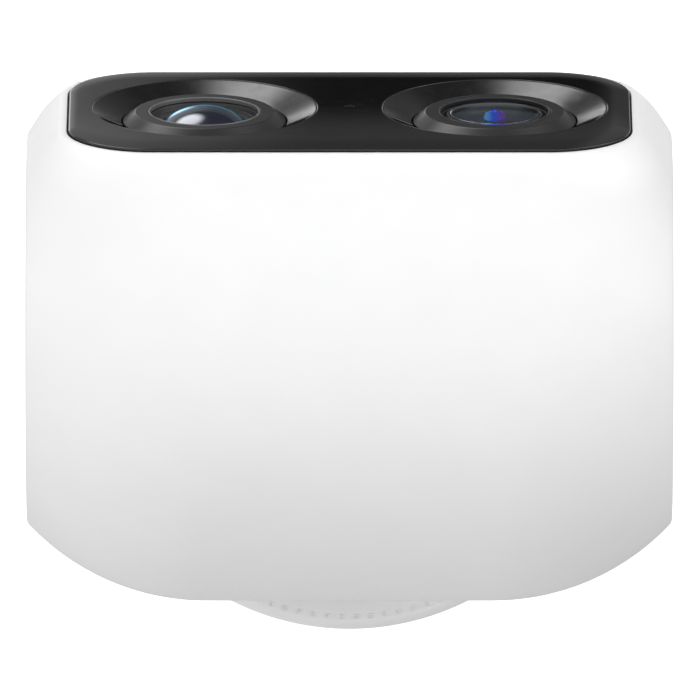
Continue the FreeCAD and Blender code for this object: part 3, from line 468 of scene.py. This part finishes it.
def head_core():
    """Solid that fills the head up to the middle of its wall."""
    bm = head_surface()
    flatten_sides(bm)
    rim = [edge for edge in bm.edges if edge.is_boundary]
    bmesh.ops.holes_fill(bm, edges=rim)
    bmesh.ops.recalc_face_normals(bm, faces=bm.faces)
    bm.normal_update()
    for vert in bm.verts:
        vert.co -= vert.normal * (SHELL_WALL / 2)
    return object_from(bm, "core")


def underside_with_posts():
    """Underside shell with its four deep screw holes and the bosses round them."""
    obj = shell_half("head_underside", upper=False)
    apply_modifiers(obj)
    posts = screw_posts(SCREW_BOSS_RADIUS, BELOW_HEAD, SCREW_BOSS_TOP, "posts")
    combine(posts, head_core(), "INTERSECT")
    combine(obj, posts, "UNION")
    combine(obj, screw_posts(SCREW_HOLE_RADIUS, BELOW_HEAD, SCREW_SEAT, "holes"), "DIFFERENCE")
    obj.data.set_sharp_from_angle(angle=math.radians(40))
    return obj


def make_head_shells():
    """Both head shells as finished pieces."""
    upper = shell_half("head_cover", upper=True)
    lower = underside_with_posts()
    for obj, node in ((upper, "head_shell"), (lower, "underside_shell")):
        obj.data.materials.clear()
        obj.data.materials.append(WHITE)
        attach(obj, "head")
        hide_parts(node)


# ---- Face panel ----------------------------------------------------------------------------------

def panel_loop(bm, inset, front, crown_share=0.0):
    """Outline of the panel, shrunk by an inset and, for the crown, towards its flat middle."""
    corner_steps = 24
    corner = PANEL_CORNER - inset
    loop = []
    for index, (side, rise) in enumerate(CORNERS):
        outer = Vector((side * (PANEL_HALF_WIDTH - PANEL_CORNER), rise * (PANEL_HALF_HEIGHT - PANEL_CORNER)))
        inner = Vector((side * (FLAT_HALF_WIDTH - FLAT_CORNER), rise * (FLAT_HALF_HEIGHT - FLAT_CORNER)))
        for step in range(corner_steps + 1):
            angle = (index + step / corner_steps) * math.pi / 2
            ray = Vector((math.cos(angle), math.sin(angle)))
            point = (outer + ray * corner).lerp(inner + ray * FLAT_CORNER, crown_share)
            loop.append(bm.verts.new((point.x, -front, point.y)))
    return loop


def hole_wall(bm, x, drop, radius, steps):
    """Wall of a round hole through the panel, with a small round at its front edge. Returns its
    front and back loops."""
    loops = []
    rows = [(radius + HOLE_ROUND * (1 - math.sin(t)), FACE_FRONT - HOLE_ROUND * (1 - math.cos(t)))
            for t in (0, math.pi / 6, math.pi / 3, math.pi / 2)]
    rows.append((radius, FACE_FRONT - PANEL_THICKNESS))
    for size, front in rows:
        loops.append([bm.verts.new((x + size * math.cos(2 * math.pi * k / steps), -front,
                                    size * math.sin(2 * math.pi * k / steps) - drop))
                      for k in range(steps)])
    for loop, following in zip(loops, loops[1:]):
        bridge(bm, loop, following)
    return loops[0], loops[-1]


def face_panel():
    """Glossy front panel: flat middle, crowned border, rounded edge and three round holes."""
    bm = bmesh.new()
    loops = [panel_loop(bm, 0, FACE_FRONT - PANEL_THICKNESS)]
    edge_front = FACE_FRONT - CROWN_DROP
    round_steps, crown_steps = 4, 12
    for step in range(round_steps + 1):
        t = math.pi / 2 * step / round_steps
        loops.append(panel_loop(bm, PANEL_ROUND * (1 - math.cos(t)),
                                edge_front - PANEL_ROUND * (1 - math.sin(t))))
    for step in range(1, crown_steps + 1):
        share = step / crown_steps
        loops.append(panel_loop(bm, PANEL_ROUND, FACE_FRONT - CROWN_DROP * (1 - share) ** 2, share))
    for loop, following in zip(loops, loops[1:]):
        bridge(bm, loop, following)
    front_edges = closed_edges(bm, loops[-1])
    back_edges = closed_edges(bm, loops[0])
    lens_hole = FUNNEL_RADIUS + HOLE_CLEARANCE
    holes = [(LENS_X, LENS_LOWERING, lens_hole, 160), (-LENS_X, LENS_LOWERING, lens_hole, 160),
             (0, MICROPHONE_LOWERING, MICROPHONE_RADIUS, 32)]
    for x, lowering, radius, steps in holes:
        front, back = hole_wall(bm, x, lowering, radius, steps)
        hole_edges = closed_edges(bm, front)
        for edge in hole_edges:
            edge.smooth = False
        front_edges += hole_edges
        back_edges += closed_edges(bm, back)
    bmesh.ops.triangle_fill(bm, edges=front_edges, use_beauty=True)
    bmesh.ops.triangle_fill(bm, edges=back_edges, use_beauty=True)
    round_microphone = MICROPHONE_RADIUS + HOLE_ROUND
    for face in bm.faces:
        middle = face.calc_center_median()
        if math.hypot(middle.x, middle.z + MICROPHONE_LOWERING) < round_microphone:
            face.material_index = 1
    panel = add_piece(bm, "face_panel", "head", GLOSS_BLACK, "face_plate")
    panel.data.materials.append(HOLE_BLACK)


# ---- Lenses --------------------------------------------------------------------------------------

def cone_front(radius):
    """How far forward the funnel's cone is at a radius."""
    return FACE_FRONT - (FUNNEL_RADIUS - radius) * FUNNEL_DEPTH / (FUNNEL_RADIUS - FUNNEL_INNER)


def funnel_column(drop):
    """(radius, front) points of the funnel's cone, lowered by a drop behind its outer lip."""
    panel_back = FACE_FRONT - PANEL_THICKNESS
    lip = [(FUNNEL_RADIUS, panel_back), (FUNNEL_RADIUS, FACE_FRONT - 0.12),
           (FUNNEL_RADIUS - 0.04, FACE_FRONT - 0.05), (FUNNEL_RADIUS - 0.16, FACE_FRONT - 0.04)]
    lip.append((FUNNEL_LIP + 0.25, cone_front(FUNNEL_LIP + 0.25)))
    cone = []
    for share in (0.0, 0.06, 0.35, 0.7, 0.97):
        radius = FUNNEL_LIP + (FUNNEL_INNER - FUNNEL_LIP) * share
        cone.append((radius, cone_front(radius) - drop))
    cone.append((FUNNEL_INNER, cone_front(FUNNEL_INNER) - 0.12 - drop))
    return lip + cone + [(FUNNEL_INNER, FUNNEL_BACK)]


def relief_column():
    """(radius, front) points where the funnel is cut down to a flat floor."""
    lip = funnel_column(0)[:5]
    wall = [(FUNNEL_LIP + 0.04, cone_front(FUNNEL_LIP) - 0.02), (FUNNEL_LIP, cone_front(FUNNEL_LIP) - 0.2),
            (FUNNEL_LIP, RELIEF_FRONT)]
    floor = [(FUNNEL_LIP + (FUNNEL_INNER - FUNNEL_LIP) * share, RELIEF_FRONT) for share in (0.3, 0.7)]
    return lip + wall + floor + [(FUNNEL_INNER, RELIEF_FRONT), (FUNNEL_INNER, FUNNEL_BACK)]


def funnel_columns():
    """(angle from straight up, column) once round the funnel."""
    middle_radius = 16.0
    floor_steps, cone_steps = 60, 80
    floor_start = -RELIEF_HALF_ANGLE * (1 - 0.1 / (floor_steps + 0.1))
    floor_step = 2 * RELIEF_HALF_ANGLE / (floor_steps + 0.1)
    turn = RELIEF_ROUND / middle_radius
    columns = [(floor_start + floor_step * k, relief_column()) for k in range(floor_steps + 1)]
    lip = [(turn * (1 - math.cos(t)), RELIEF_ROUND * (1 - math.sin(t)))
           for t in (0, math.pi / 8, math.pi / 4, math.pi * 3 / 8, math.pi / 2)]
    columns += [(RELIEF_HALF_ANGLE + offset, funnel_column(drop)) for offset, drop in lip]
    first, last = RELIEF_HALF_ANGLE + turn, 2 * math.pi - RELIEF_HALF_ANGLE - turn
    columns += [(first + (last - first) * k / cone_steps, funnel_column(0))
                for k in range(1, cone_steps)]
    columns += [(2 * math.pi - RELIEF_HALF_ANGLE - offset, funnel_column(drop))
                for offset, drop in reversed(lip)]
    return columns


def funnel(side):
    """Conical surround of a lens, cut away in an arc above the barrel."""
    place = about_lens(side * LENS_X)
    bm = bmesh.new()
    columns = []
    for angle, column in funnel_columns():
        columns.append([bm.verts.new(place(radius, front, angle)) for radius, front in column])
    for column, following in zip(columns, columns[1:] + columns[:1]):
        bridge(bm, column, following)
    bmesh.ops.remove_doubles(bm, verts=bm.verts, dist=SAME_POINT / 4)
    return bm


def barrel(side):
    """Lens barrel: sloping collar and skirt in front, mounting flange and stepped bore behind."""
    skirt = FACE_FRONT - FUNNEL_DEPTH
    skirt_back = skirt - 0.6
    profile = [(BARREL_BORE, COLLAR_FRONT), (COLLAR_RADIUS, COLLAR_FRONT), (SKIRT_RADIUS, skirt),
               (SKIRT_RADIUS, skirt_back), (BARREL_RADIUS, skirt_back),
               (BARREL_RADIUS, FLANGE_FRONT), (FLANGE_RADIUS, FLANGE_FRONT),
               (FLANGE_RADIUS, FLANGE_BACK), (BARREL_RADIUS, FLANGE_BACK),
               (BARREL_RADIUS, BARREL_BACK), (APERTURE, BARREL_BACK), (APERTURE, INNER_SEAT),
               (INNER_BORE, INNER_SEAT), (INNER_BORE, GLASS_SEAT), (BARREL_BORE, GLASS_SEAT)]
    return lathe(rounded(profile, 0.14), about_lens(side * LENS_X))


def rim_ring(side):
    """Thin ring in the mouth of a barrel."""
    profile = [(RIM_INNER, RIM_BACK), (CELL_RADIUS, RIM_BACK), (CELL_RADIUS, RIM_FRONT),
               (RIM_INNER, RIM_FRONT)]
    return lathe(rounded(profile, 0.13), about_lens(side * LENS_X))


def lens_cell(side, lens):
    """Ring that holds the front glass, with a groove round its lip."""
    inner = lens["radius"] + 0.05
    groove = 36.8
    profile = [(inner, GLASS_SEAT), (CELL_RADIUS, GLASS_SEAT), (CELL_RADIUS, 37.7), (9.05, 37.7),
               (8.9, groove), (8.3, groove), (8.1, lens["lip"]), (inner, lens["lip"])]
    return lathe(rounded(profile, 0.1), about_lens(side * LENS_X))


def front_glass(side, lens):
    """Plano-convex front element with a polished round at its rim."""
    radius, back, edge, curve = (lens[size] for size in ("radius", "back", "edge", "curve"))
    apex_sag = curve - math.sqrt(curve ** 2 - radius ** 2)
    centre = edge + apex_sag - curve
    half = math.asin(radius / curve)
    steps = 24
    rim = rounded([(0, back), (radius, back), (radius, edge)], 0.01)[:-CORNER_POINTS]
    crown = [(curve * math.sin(half * (1 - k / steps)), centre + curve * math.cos(half * (1 - k / steps)))
             for k in range(steps + 1)]
    shoulder = [(radius, edge - GLASS_ROUND), (radius - 0.02, edge - GLASS_ROUND * 0.4),
                (radius - 0.08, edge)]
    dome = [point for point in crown if point[0] < radius - GLASS_ROUND]
    return lathe([tuple(point) for point in rim] + shoulder + dome, about_lens(side * LENS_X))


def pupil(side):
    """Tall coated dome seen deep inside the tele lens."""
    steps = 16
    dome = [(PUPIL_RADIUS * math.cos(math.pi / 2 * k / steps),
             PUPIL_FOOT + PUPIL_HEIGHT * math.sin(math.pi / 2 * k / steps)) for k in range(steps + 1)]
    return lathe([(0, PUPIL_FOOT - 0.1), (PUPIL_RADIUS, PUPIL_FOOT - 0.1)] + dome,
                 about_lens(side * LENS_X), steps=64)


def iris(side):
    """Dark cup bonded to the back and side of the tele lens's front glass."""
    back, rim = 33.3, 37.9
    profile = [(0, back), (IRIS_RADIUS, back), (IRIS_RADIUS, rim), (IRIS_RADIUS - 0.15, rim),
               (6.6, 35.0), (3.2, PUPIL_FOOT), (0, PUPIL_FOOT)]
    return lathe(rounded(profile, 0.12), about_lens(side * LENS_X))


def make_lenses():
    """Both lenses as finished pieces, and what shows inside the tele lens."""
    wide, tele = 1, -1
    for side, name in ((wide, "wide"), (tele, "tele")):
        add_piece(funnel(side), name + "_funnel", "head", FUNNEL_BLACK,
                  name + "_lens_funnel")
        add_piece(barrel(side), name + "_barrel", "head", ANODISED,
                  name + "_lens_barrel")
    add_piece(rim_ring(wide), "wide_rim", "head", BRIGHT_RING, "wide_rim_ring")
    add_piece(rim_ring(tele), "tele_rim", "head", ANODISED, "tele_rim_ring")
    add_piece(lens_cell(wide, WIDE_LENS), "wide_cell", "head", CELL_PLASTIC,
              "wide_lens_cell")
    add_piece(lens_cell(tele, TELE_LENS), "tele_cell", "head", CELL_PLASTIC,
              "tele_lens_cell")
    add_piece(front_glass(wide, WIDE_LENS), "wide_glass_dome", "head", WIDE_GLASS,
              "wide_front_glass")
    add_piece(front_glass(tele, TELE_LENS), "tele_glass_disc", "head", TELE_GLASS,
              "tele_front_glass")
    # The pupil's material paints a cyan highlight and a blue glow on it
    add_piece(pupil(tele), "tele_pupil", "head", PUPIL)
    add_piece(iris(tele), "tele_iris", "head", IRIS_BLACK)


# ---- Base cover ----------------------------------------------------------------------------------

def cover_rows():
    """(radius, height) of the cover's loops, and which spans between them hold the dashes."""
    underneath = COVER_TOP - COVER_WALL
    rows = [(COVER_HOLE, underneath), (COVER_HOLE, COVER_TOP - 0.3),
            (COVER_HOLE + 0.1, COVER_TOP - 0.1), (COVER_HOLE + 0.3, COVER_TOP), (30, COVER_TOP),
            (38, COVER_TOP), (42, COVER_TOP)]
    dash_rows = []
    for step in (-1, 0, 1):
        middle = MARK_RADIUS + step * DASH_PITCH
        dash_rows.append(len(rows))
        rows.append((middle - DASH_LENGTH / 2, COVER_TOP))
        rows.append((middle + DASH_LENGTH / 2, COVER_TOP))
    edge_steps = 8
    for step in range(edge_steps + 1):
        t = math.pi / 2 * step / edge_steps
        rows.append((BASE_RADIUS - BASE_EDGE_WIDTH * (1 - math.sin(t)),
                     COVER_TOP - BASE_EDGE_DROP * (1 - math.cos(t))))
    rows += [(BASE_RADIUS, COVER_BOTTOM + 0.15), (BASE_RADIUS - 0.15, COVER_BOTTOM),
             (BASE_RADIUS - COVER_WALL, COVER_BOTTOM), (BASE_RADIUS - COVER_WALL, underneath)]
    return rows, dash_rows


def base_cover():
    """Round cover with a ring of fine moulded marks, each of three short dashes."""
    rows, dash_rows = cover_rows()
    mark = MARK_WIDTH / MARK_RADIUS
    pitch = 2 * math.pi / MARK_COUNT
    angles = []
    for index in range(MARK_COUNT):
        start = index * pitch
        angles += [start - mark / 2, start + mark / 2, start + pitch / 2]
    bm = bmesh.new()
    grid = [[bm.verts.new(about_pan(radius, height, angle)) for angle in angles]
            for radius, height in rows]
    pockets = []
    count = len(angles)
    for row, (loop, following) in enumerate(zip(grid, grid[1:] + grid[:1])):
        for k in range(count):
            face = bm.faces.new((loop[k], loop[(k + 1) % count], following[(k + 1) % count],
                                 following[k]))
            if row in dash_rows and k % 3 == 0:
                pockets.append(face)
    bmesh.ops.recalc_face_normals(bm, faces=bm.faces)
    sunk = bmesh.ops.extrude_discrete_faces(bm, faces=pockets)["faces"]
    for face in sunk:
        for vert in face.verts:
            vert.co.z -= DASH_DEPTH
    add_piece(bm, "base_top", "base", WHITE, "base_cover", to_world=Matrix())


# ---- Materials -----------------------------------------------------------------------------------

class Tree:
    """Short calls for building a node tree."""

    def __init__(self, owner):
        owner.use_nodes = True
        self.tree = owner.node_tree

    def node(self, kind, inputs=(), **settings):
        made = self.tree.nodes.new(kind)
        for key, value in settings.items():
            setattr(made, key, value)
        for key, value in dict(inputs).items():
            self.feed(made.inputs[key], value)
        return made

    def feed(self, socket, value):
        if isinstance(value, bpy.types.NodeSocket):
            self.tree.links.new(value, socket)
        else:
            socket.default_value = value

    def math(self, operation, a, b=0.0):
        return self.node("ShaderNodeMath", {0: a, 1: b}, operation=operation).outputs[0]

    def range(self, value, low, high, to_low=0.0, to_high=1.0):
        """Smooth step from to_low, at low, to to_high, at high."""
        made = self.node("ShaderNodeMapRange",
                         {"Value": value, "From Min": low, "From Max": high,
                          "To Min": to_low, "To Max": to_high},
                         interpolation_type="SMOOTHSTEP")
        return made.outputs["Result"]


class Nodes(Tree):
    """One material's node tree, about its Principled shader."""

    def __init__(self, name):
        self.material = bpy.data.materials.new(name)
        super().__init__(self.material)
        self.shader = self.tree.nodes["Principled BSDF"]

    def set(self, **values):
        for key, value in values.items():
            self.feed(self.shader.inputs[key.replace("_", " ")], value)

    def place(self):
        return self.node("ShaderNodeTexCoord").outputs["Object"]

    def noise(self, scale, detail=3.0, vector=None):
        vector = vector or self.place()
        made = self.node("ShaderNodeTexNoise", {"Vector": vector, "Scale": scale, "Detail": detail})
        return made.outputs["Fac"]

    def mix(self, share, first, second):
        made = self.node("ShaderNodeMix", {0: share, 6: first, 7: second}, data_type="RGBA")
        return made.outputs[2]

    def finish_with(self, surface):
        output = self.tree.nodes["Material Output"]
        self.tree.links.new(surface, output.inputs["Surface"])

    def bump(self, height, strength, distance):
        made = self.node("ShaderNodeBump", {"Height": height, "Strength": strength,
                                            "Distance": distance})
        return made.outputs["Normal"]


def rgb(r, g, b):
    """Opaque linear colour."""
    return (r, g, b, 1.0)


def moulded(name, colour, roughness, grain=0.00012, depth=0.000004, spread=0.06):
    """Moulded plastic or rubber: fine spark-eroded grain and slightly uneven gloss."""
    n = Nodes(name)
    fine = n.noise(1 / grain)
    broad = n.noise(120.0)
    n.set(Base_Color=n.mix(broad, rgb(*(c * 0.98 for c in colour)), rgb(*(c * 1.02 for c in colour))))
    n.set(Roughness=n.range(n.noise(900.0), 0.3, 0.7, roughness - spread, roughness + spread))
    n.set(Normal=n.bump(fine, 1.0, depth))
    return n.material


def gloss_black(name, colour, roughness, haze):
    """Piano-black plastic: deep gloss with a very slight orange peel and polishing haze."""
    n = Nodes(name)
    n.set(Base_Color=n.mix(n.noise(160.0), rgb(*colour), rgb(*(c * 1.3 for c in colour))))
    n.set(Roughness=n.range(n.noise(420.0, 5.0), 0.35, 0.75, roughness, roughness + haze))
    n.set(Normal=n.bump(n.noise(700.0, 2.0), 0.25, 0.000004))
    n.set(IOR=1.5)
    return n.material


def anodised(name, colour, roughness):
    """Bead-blasted, anodised metal: fine sparkling grain under a thin dark layer."""
    n = Nodes(name)
    grain = n.noise(16000.0, 2.0)
    n.set(Base_Color=n.mix(grain, rgb(*(c * 0.8 for c in colour)), rgb(*(c * 1.25 for c in colour))))
    n.set(Metallic=0.35, Roughness=n.range(n.noise(1500.0), 0.3, 0.7, roughness - 0.015, roughness + 0.015))
    n.set(Normal=n.bump(grain, 0.3, 0.0000015))
    return n.material


def brushed(name, colour, roughness, along=(40.0, 1200.0, 1200.0)):
    """Rolled or brushed metal, with fine lines along one direction."""
    n = Nodes(name)
    stretched = n.node("ShaderNodeMapping", {"Vector": n.place(), "Scale": along}).outputs[0]
    lines = n.noise(2.0, 6.0, stretched)
    n.set(Base_Color=n.mix(lines, rgb(*(c * 0.88 for c in colour)), rgb(*colour)), Metallic=1.0)
    n.set(Roughness=n.range(lines, 0.25, 0.75, roughness - 0.07, roughness + 0.09))
    n.set(Normal=n.bump(lines, 0.5, 0.000008))
    return n.material


def circuit_board():
    """Solder mask with fine raised copper tracks."""
    n = Nodes("circuit_board")
    tracks = n.node("ShaderNodeTexBrick", {"Vector": n.place(), "Scale": 260.0, "Mortar Size": 0.03,
                                           "Color1": rgb(0, 0, 0), "Color2": rgb(0.1, 0.1, 0.1),
                                           "Mortar": rgb(1, 1, 1)})
    share = n.range(n.noise(140.0), 0.42, 0.55)
    copper = n.math("MULTIPLY", tracks.outputs["Fac"], share)
    n.set(Base_Color=n.mix(copper, rgb(0.006, 0.055, 0.03), rgb(0.03, 0.16, 0.06)))
    n.set(Roughness=n.range(copper, 0.0, 1.0, 0.38, 0.26), Normal=n.bump(copper, 0.6, 0.00003))
    return n.material


def coated_dome():
    """Wide lens: dark coated glass that turns cyan where it is seen edge on."""
    n = Nodes("wide_glass")
    n.set(Base_Color=n.mix(n.noise(300.0), rgb(0.010, 0.011, 0.018), rgb(0.020, 0.018, 0.030)))
    n.set(Roughness=n.range(n.noise(500.0), 0.3, 0.7, 0.13, 0.17), IOR=1.6)
    n.set(Coat_Weight=1.0, Coat_Roughness=0.04, Coat_Tint=rgb(0.85, 0.92, 1.0))
    facing = n.node("ShaderNodeLayerWeight", {"Blend": 0.5}).outputs["Facing"]
    sheen = n.node("ShaderNodeBsdfGlossy", {"Color": rgb(0.30, 0.74, 1.0), "Roughness": 0.18})
    blend = n.node("ShaderNodeMixShader", {0: n.range(facing, 0.62, 0.86, 0.0, 0.85),
                                           1: n.shader.outputs[0], 2: sheen.outputs[0]})
    n.finish_with(blend.outputs[0])
    return n.material


def clear_coated():
    """Tele lens: clear glass with a cool anti-reflection coating."""
    n = Nodes("tele_glass")
    n.set(Base_Color=rgb(0.90, 0.95, 1.0), IOR=1.52, Transmission_Weight=1.0)
    n.set(Roughness=n.range(n.noise(500.0), 0.3, 0.7, 0.0, 0.02))
    n.set(Specular_Tint=rgb(0.80, 0.92, 1.0))
    return n.material


def pupil_with_painted_glow():
    """Deep coated element: a blue coating tint turning violet towards one side, with a painted cyan
    highlight towards the other and a painted glow from its emission.
    """
    n = Nodes("pupil_painted_glow")
    across = n.node("ShaderNodeSeparateXYZ", {"Vector": n.place()}).outputs[0]
    middle = -LENS_X * MM
    to_violet = n.range(across, middle + 0.0003, middle - 0.0014)
    # Colour bands across the dome in object space: a blue coating tint turning violet on one side, and a
    # painted cyan highlight on the other side
    painted_highlight_share = n.range(across, middle + 0.0001, middle + 0.0013)
    tint_and_highlight = n.mix(to_violet, rgb(0.015, 0.10, 0.95), rgb(0.16, 0.05, 0.62))
    tint_and_highlight = n.mix(painted_highlight_share, tint_and_highlight, rgb(0.10, 0.42, 1.0))
    n.set(Base_Color=tint_and_highlight, Metallic=0.9, Roughness=n.range(n.noise(900.0), 0.3, 0.7, 0.22, 0.30))
    # The emission is a painted glow: the pupil shines in the dark lens though it is no lamp
    n.set(Emission_Color=tint_and_highlight, Emission_Strength=0.35)
    return n.material


WHITE = moulded("white_shell", (0.80, 0.80, 0.805), 0.40)
GLOSS_BLACK = gloss_black("gloss_black", (0.0045, 0.0045, 0.0048), 0.05, 0.05)
FUNNEL_BLACK = gloss_black("funnel_black", (0.0050, 0.0050, 0.0053), 0.22, 0.06)
ANODISED = anodised("black_anodised", (0.026, 0.026, 0.028), 0.30)
BRIGHT_RING = anodised("bright_ring", (0.13, 0.13, 0.135), 0.30)
CELL_PLASTIC = moulded("cell_plastic", (0.020, 0.018, 0.017), 0.42)
IRIS_BLACK = moulded("iris_black", (0.034, 0.046, 0.055), 0.45)
HOLE_BLACK = moulded("hole_black", (0.002, 0.002, 0.002), 0.85)
WIDE_GLASS = coated_dome()
TELE_GLASS = clear_coated()
PUPIL = pupil_with_painted_glow()
SLOTS = {
    "white_shell": WHITE,
    "white_rubber": moulded("white_rubber", (0.74, 0.74, 0.74), 0.62, grain=0.0002),
    "gloss_black": GLOSS_BLACK,
    "black_anodised": ANODISED,
    "bright_ring": BRIGHT_RING,
    "dark_plastic": moulded("dark_plastic", (0.022, 0.022, 0.024), 0.48),
    "wide_glass": WIDE_GLASS,
    "tele_glass": TELE_GLASS,
    "inner_glass": moulded("inner_glass", (0.01, 0.012, 0.02), 0.12, depth=0.0000005),
    "black_rubber": moulded("black_rubber", (0.012, 0.012, 0.012), 0.68, grain=0.0002),
    "circuit_board": circuit_board(),
    "aluminium": brushed("aluminium", (0.72, 0.73, 0.75), 0.30),
    "steel": brushed("steel", (0.58, 0.58, 0.60), 0.32),
    "grey_plastic": moulded("grey_plastic", (0.19, 0.20, 0.21), 0.44),
    "shield_metal": brushed("shield_metal", (0.62, 0.61, 0.58), 0.24),
}


def paint_all():
    """Give each CAD node the material of its slot."""
    for node in frame["nodes"].values():
        slot_name = node.data.materials[0].name
        if slot_name in SLOTS:
            node.material_slots[0].material = SLOTS[slot_name]


# ---- Stage, light and camera ---------------------------------------------------------------------

# The camera looks straight down. Its height above the tilt axis and its lens make the view as wide
# as VIEW_WIDTH, in millimetres, at that axis. The other sizes are in metres.
VIEW_WIDTH = 119.378
VIEW_CENTRE = Vector((-0.00009, -0.00285))
CAMERA_HEIGHT = 5.5
SENSOR = 36.0
FLOOR_SIZE = 6.0
CARD_SIZE = 0.3
CARD_PLACE = (0, -0.09, 0.0005)


def stage():
    """Pale floor that takes no part in lighting the object."""
    bpy.ops.mesh.primitive_plane_add(size=FLOOR_SIZE, location=(0, 0, 0))
    floor = bpy.context.object
    floor.name = "floor"
    n = Nodes("floor")
    n.set(Base_Color=rgb(0.9, 0.9, 0.9), Roughness=1.0, Emission_Color=rgb(1, 1, 1))
    n.set(Emission_Strength=0.75)
    n.shader.inputs["Specular IOR Level"].default_value = 0.0
    floor.data.materials.append(n.material)
    floor.visible_diffuse = False
    floor.visible_glossy = False
    floor.visible_transmission = False
    floor.visible_shadow = False


class Sky(Tree):
    """World light made of an even level, soft round panels and soft dark patches."""

    def __init__(self, level):
        world = bpy.data.worlds.new("studio")
        bpy.context.scene.world = world
        super().__init__(world)
        self.direction = self.node("ShaderNodeTexCoord").outputs["Generated"]
        self.total = self.math("ADD", level)

    def lobe(self, towards, inner, outer, level):
        """The level within the inner angle of a direction, fading to 0 at the outer angle."""
        dot = self.node("ShaderNodeVectorMath", {0: self.direction, 1: Vector(towards).normalized()},
                        operation="DOT_PRODUCT")
        angle = self.math("ARCCOSINE", dot.outputs["Value"])
        spread = self.range(angle, math.radians(outer), math.radians(inner))
        return self.math("MULTIPLY", spread, level)

    def add(self, *lobe):
        self.total = self.math("ADD", self.total, self.lobe(*lobe))

    def dim(self, *lobe):
        self.total = self.math("MULTIPLY", self.total, self.math("SUBTRACT", 1.0, self.lobe(*lobe)))

    def finish(self):
        background = self.tree.nodes["Background"]
        self.feed(background.inputs["Color"], rgb(1, 1, 1))
        self.feed(background.inputs["Strength"], self.total)


def light():
    """Soft overhead light, side fills, dark patches in front and behind, and two small bright
    panels for the lenses. Each has its direction, inner and outer angle in degrees, and level."""
    sky = Sky(0.32)
    sky.add((0, 0, 1), 10, 75, 1.28)
    sky.add((-0.85, -0.65, 0.25), 5, 45, 2.6)
    sky.add((1, 0, 0.3), 10, 60, 0.98)
    sky.add((0, 0.8, -0.6), 10, 70, 0.53)
    sky.add((-1, 0, -0.5), 10, 60, 0.06)
    sky.add((1, 0, -0.5), 10, 60, 0.09)
    sky.add((0, 0.2, -1), 10, 50, 0.10)
    sky.dim((-0.1, -0.85, -0.5), 22, 48, 0.80)
    sky.dim((-0.55, 0.75, 0.3), 10, 60, 0.3)
    sky.dim((0, -0.5, -0.866), 4, 20, 0.93)
    sky.add((0.31, -0.91, -0.22), 10, 21, 5.5)
    sky.add((0.2, -0.42, -0.9), 3, 9, 1.6)
    sky.finish()


def reflector():
    """Low glowing card that only shows in reflections, brighter towards its ends and borders."""
    bpy.ops.mesh.primitive_plane_add(size=CARD_SIZE, location=CARD_PLACE)
    card = bpy.context.object
    card.name = "reflector"
    n = Nodes("reflector")
    across, along, _ = n.node("ShaderNodeSeparateXYZ", {"Vector": n.place()}).outputs
    reach = n.math("MULTIPLY", n.range(along, -0.10, -0.06), n.range(along, 0.06, 0.04))
    bright_end = n.range(across, 0.002, 0.060, 0.0, 0.30)
    dim_end = n.range(across, -0.041, -0.050, 0.0, 0.10)
    front = n.range(along, -0.0045, -0.0100, 0.0, 0.10)
    back = n.range(along, 0.0030, 0.0075, 0.0, 0.08)
    total = n.math("ADD", n.math("ADD", bright_end, dim_end), n.math("ADD", front, back))
    glow = n.math("MULTIPLY", total, reach)
    emission = n.node("ShaderNodeEmission", {"Strength": glow})
    clear = n.node("ShaderNodeBsdfTransparent")
    both = n.node("ShaderNodeAddShader", {0: emission.outputs[0], 1: clear.outputs[0]})
    n.finish_with(both.outputs[0])
    card.data.materials.append(n.material)
    card.visible_camera = False
    card.visible_diffuse = False
    card.visible_transmission = False
    card.visible_shadow = False


def camera():
    """Camera high above the object, looking straight down with the face towards the top."""
    lens = bpy.data.cameras.new("camera")
    lens.sensor_width = SENSOR
    lens.lens = SENSOR * CAMERA_HEIGHT / (VIEW_WIDTH * MM)
    lens.clip_start = 1.0
    lens.clip_end = 20.0
    obj = bpy.data.objects.new("camera", lens)
    bpy.context.scene.collection.objects.link(obj)
    obj.location = (VIEW_CENTRE.x, VIEW_CENTRE.y, TILT_AXIS.z + CAMERA_HEIGHT)
    obj.rotation_euler = (0, 0, math.pi)
    bpy.context.scene.camera = obj


# ---- The whole scene -----------------------------------------------------------------------------

make_head_shells()
face_panel()
make_lenses()
base_cover()
paint_all()
stage()
reflector()
light()
camera()
bpy.context.scene.view_settings.view_transform = "Standard"
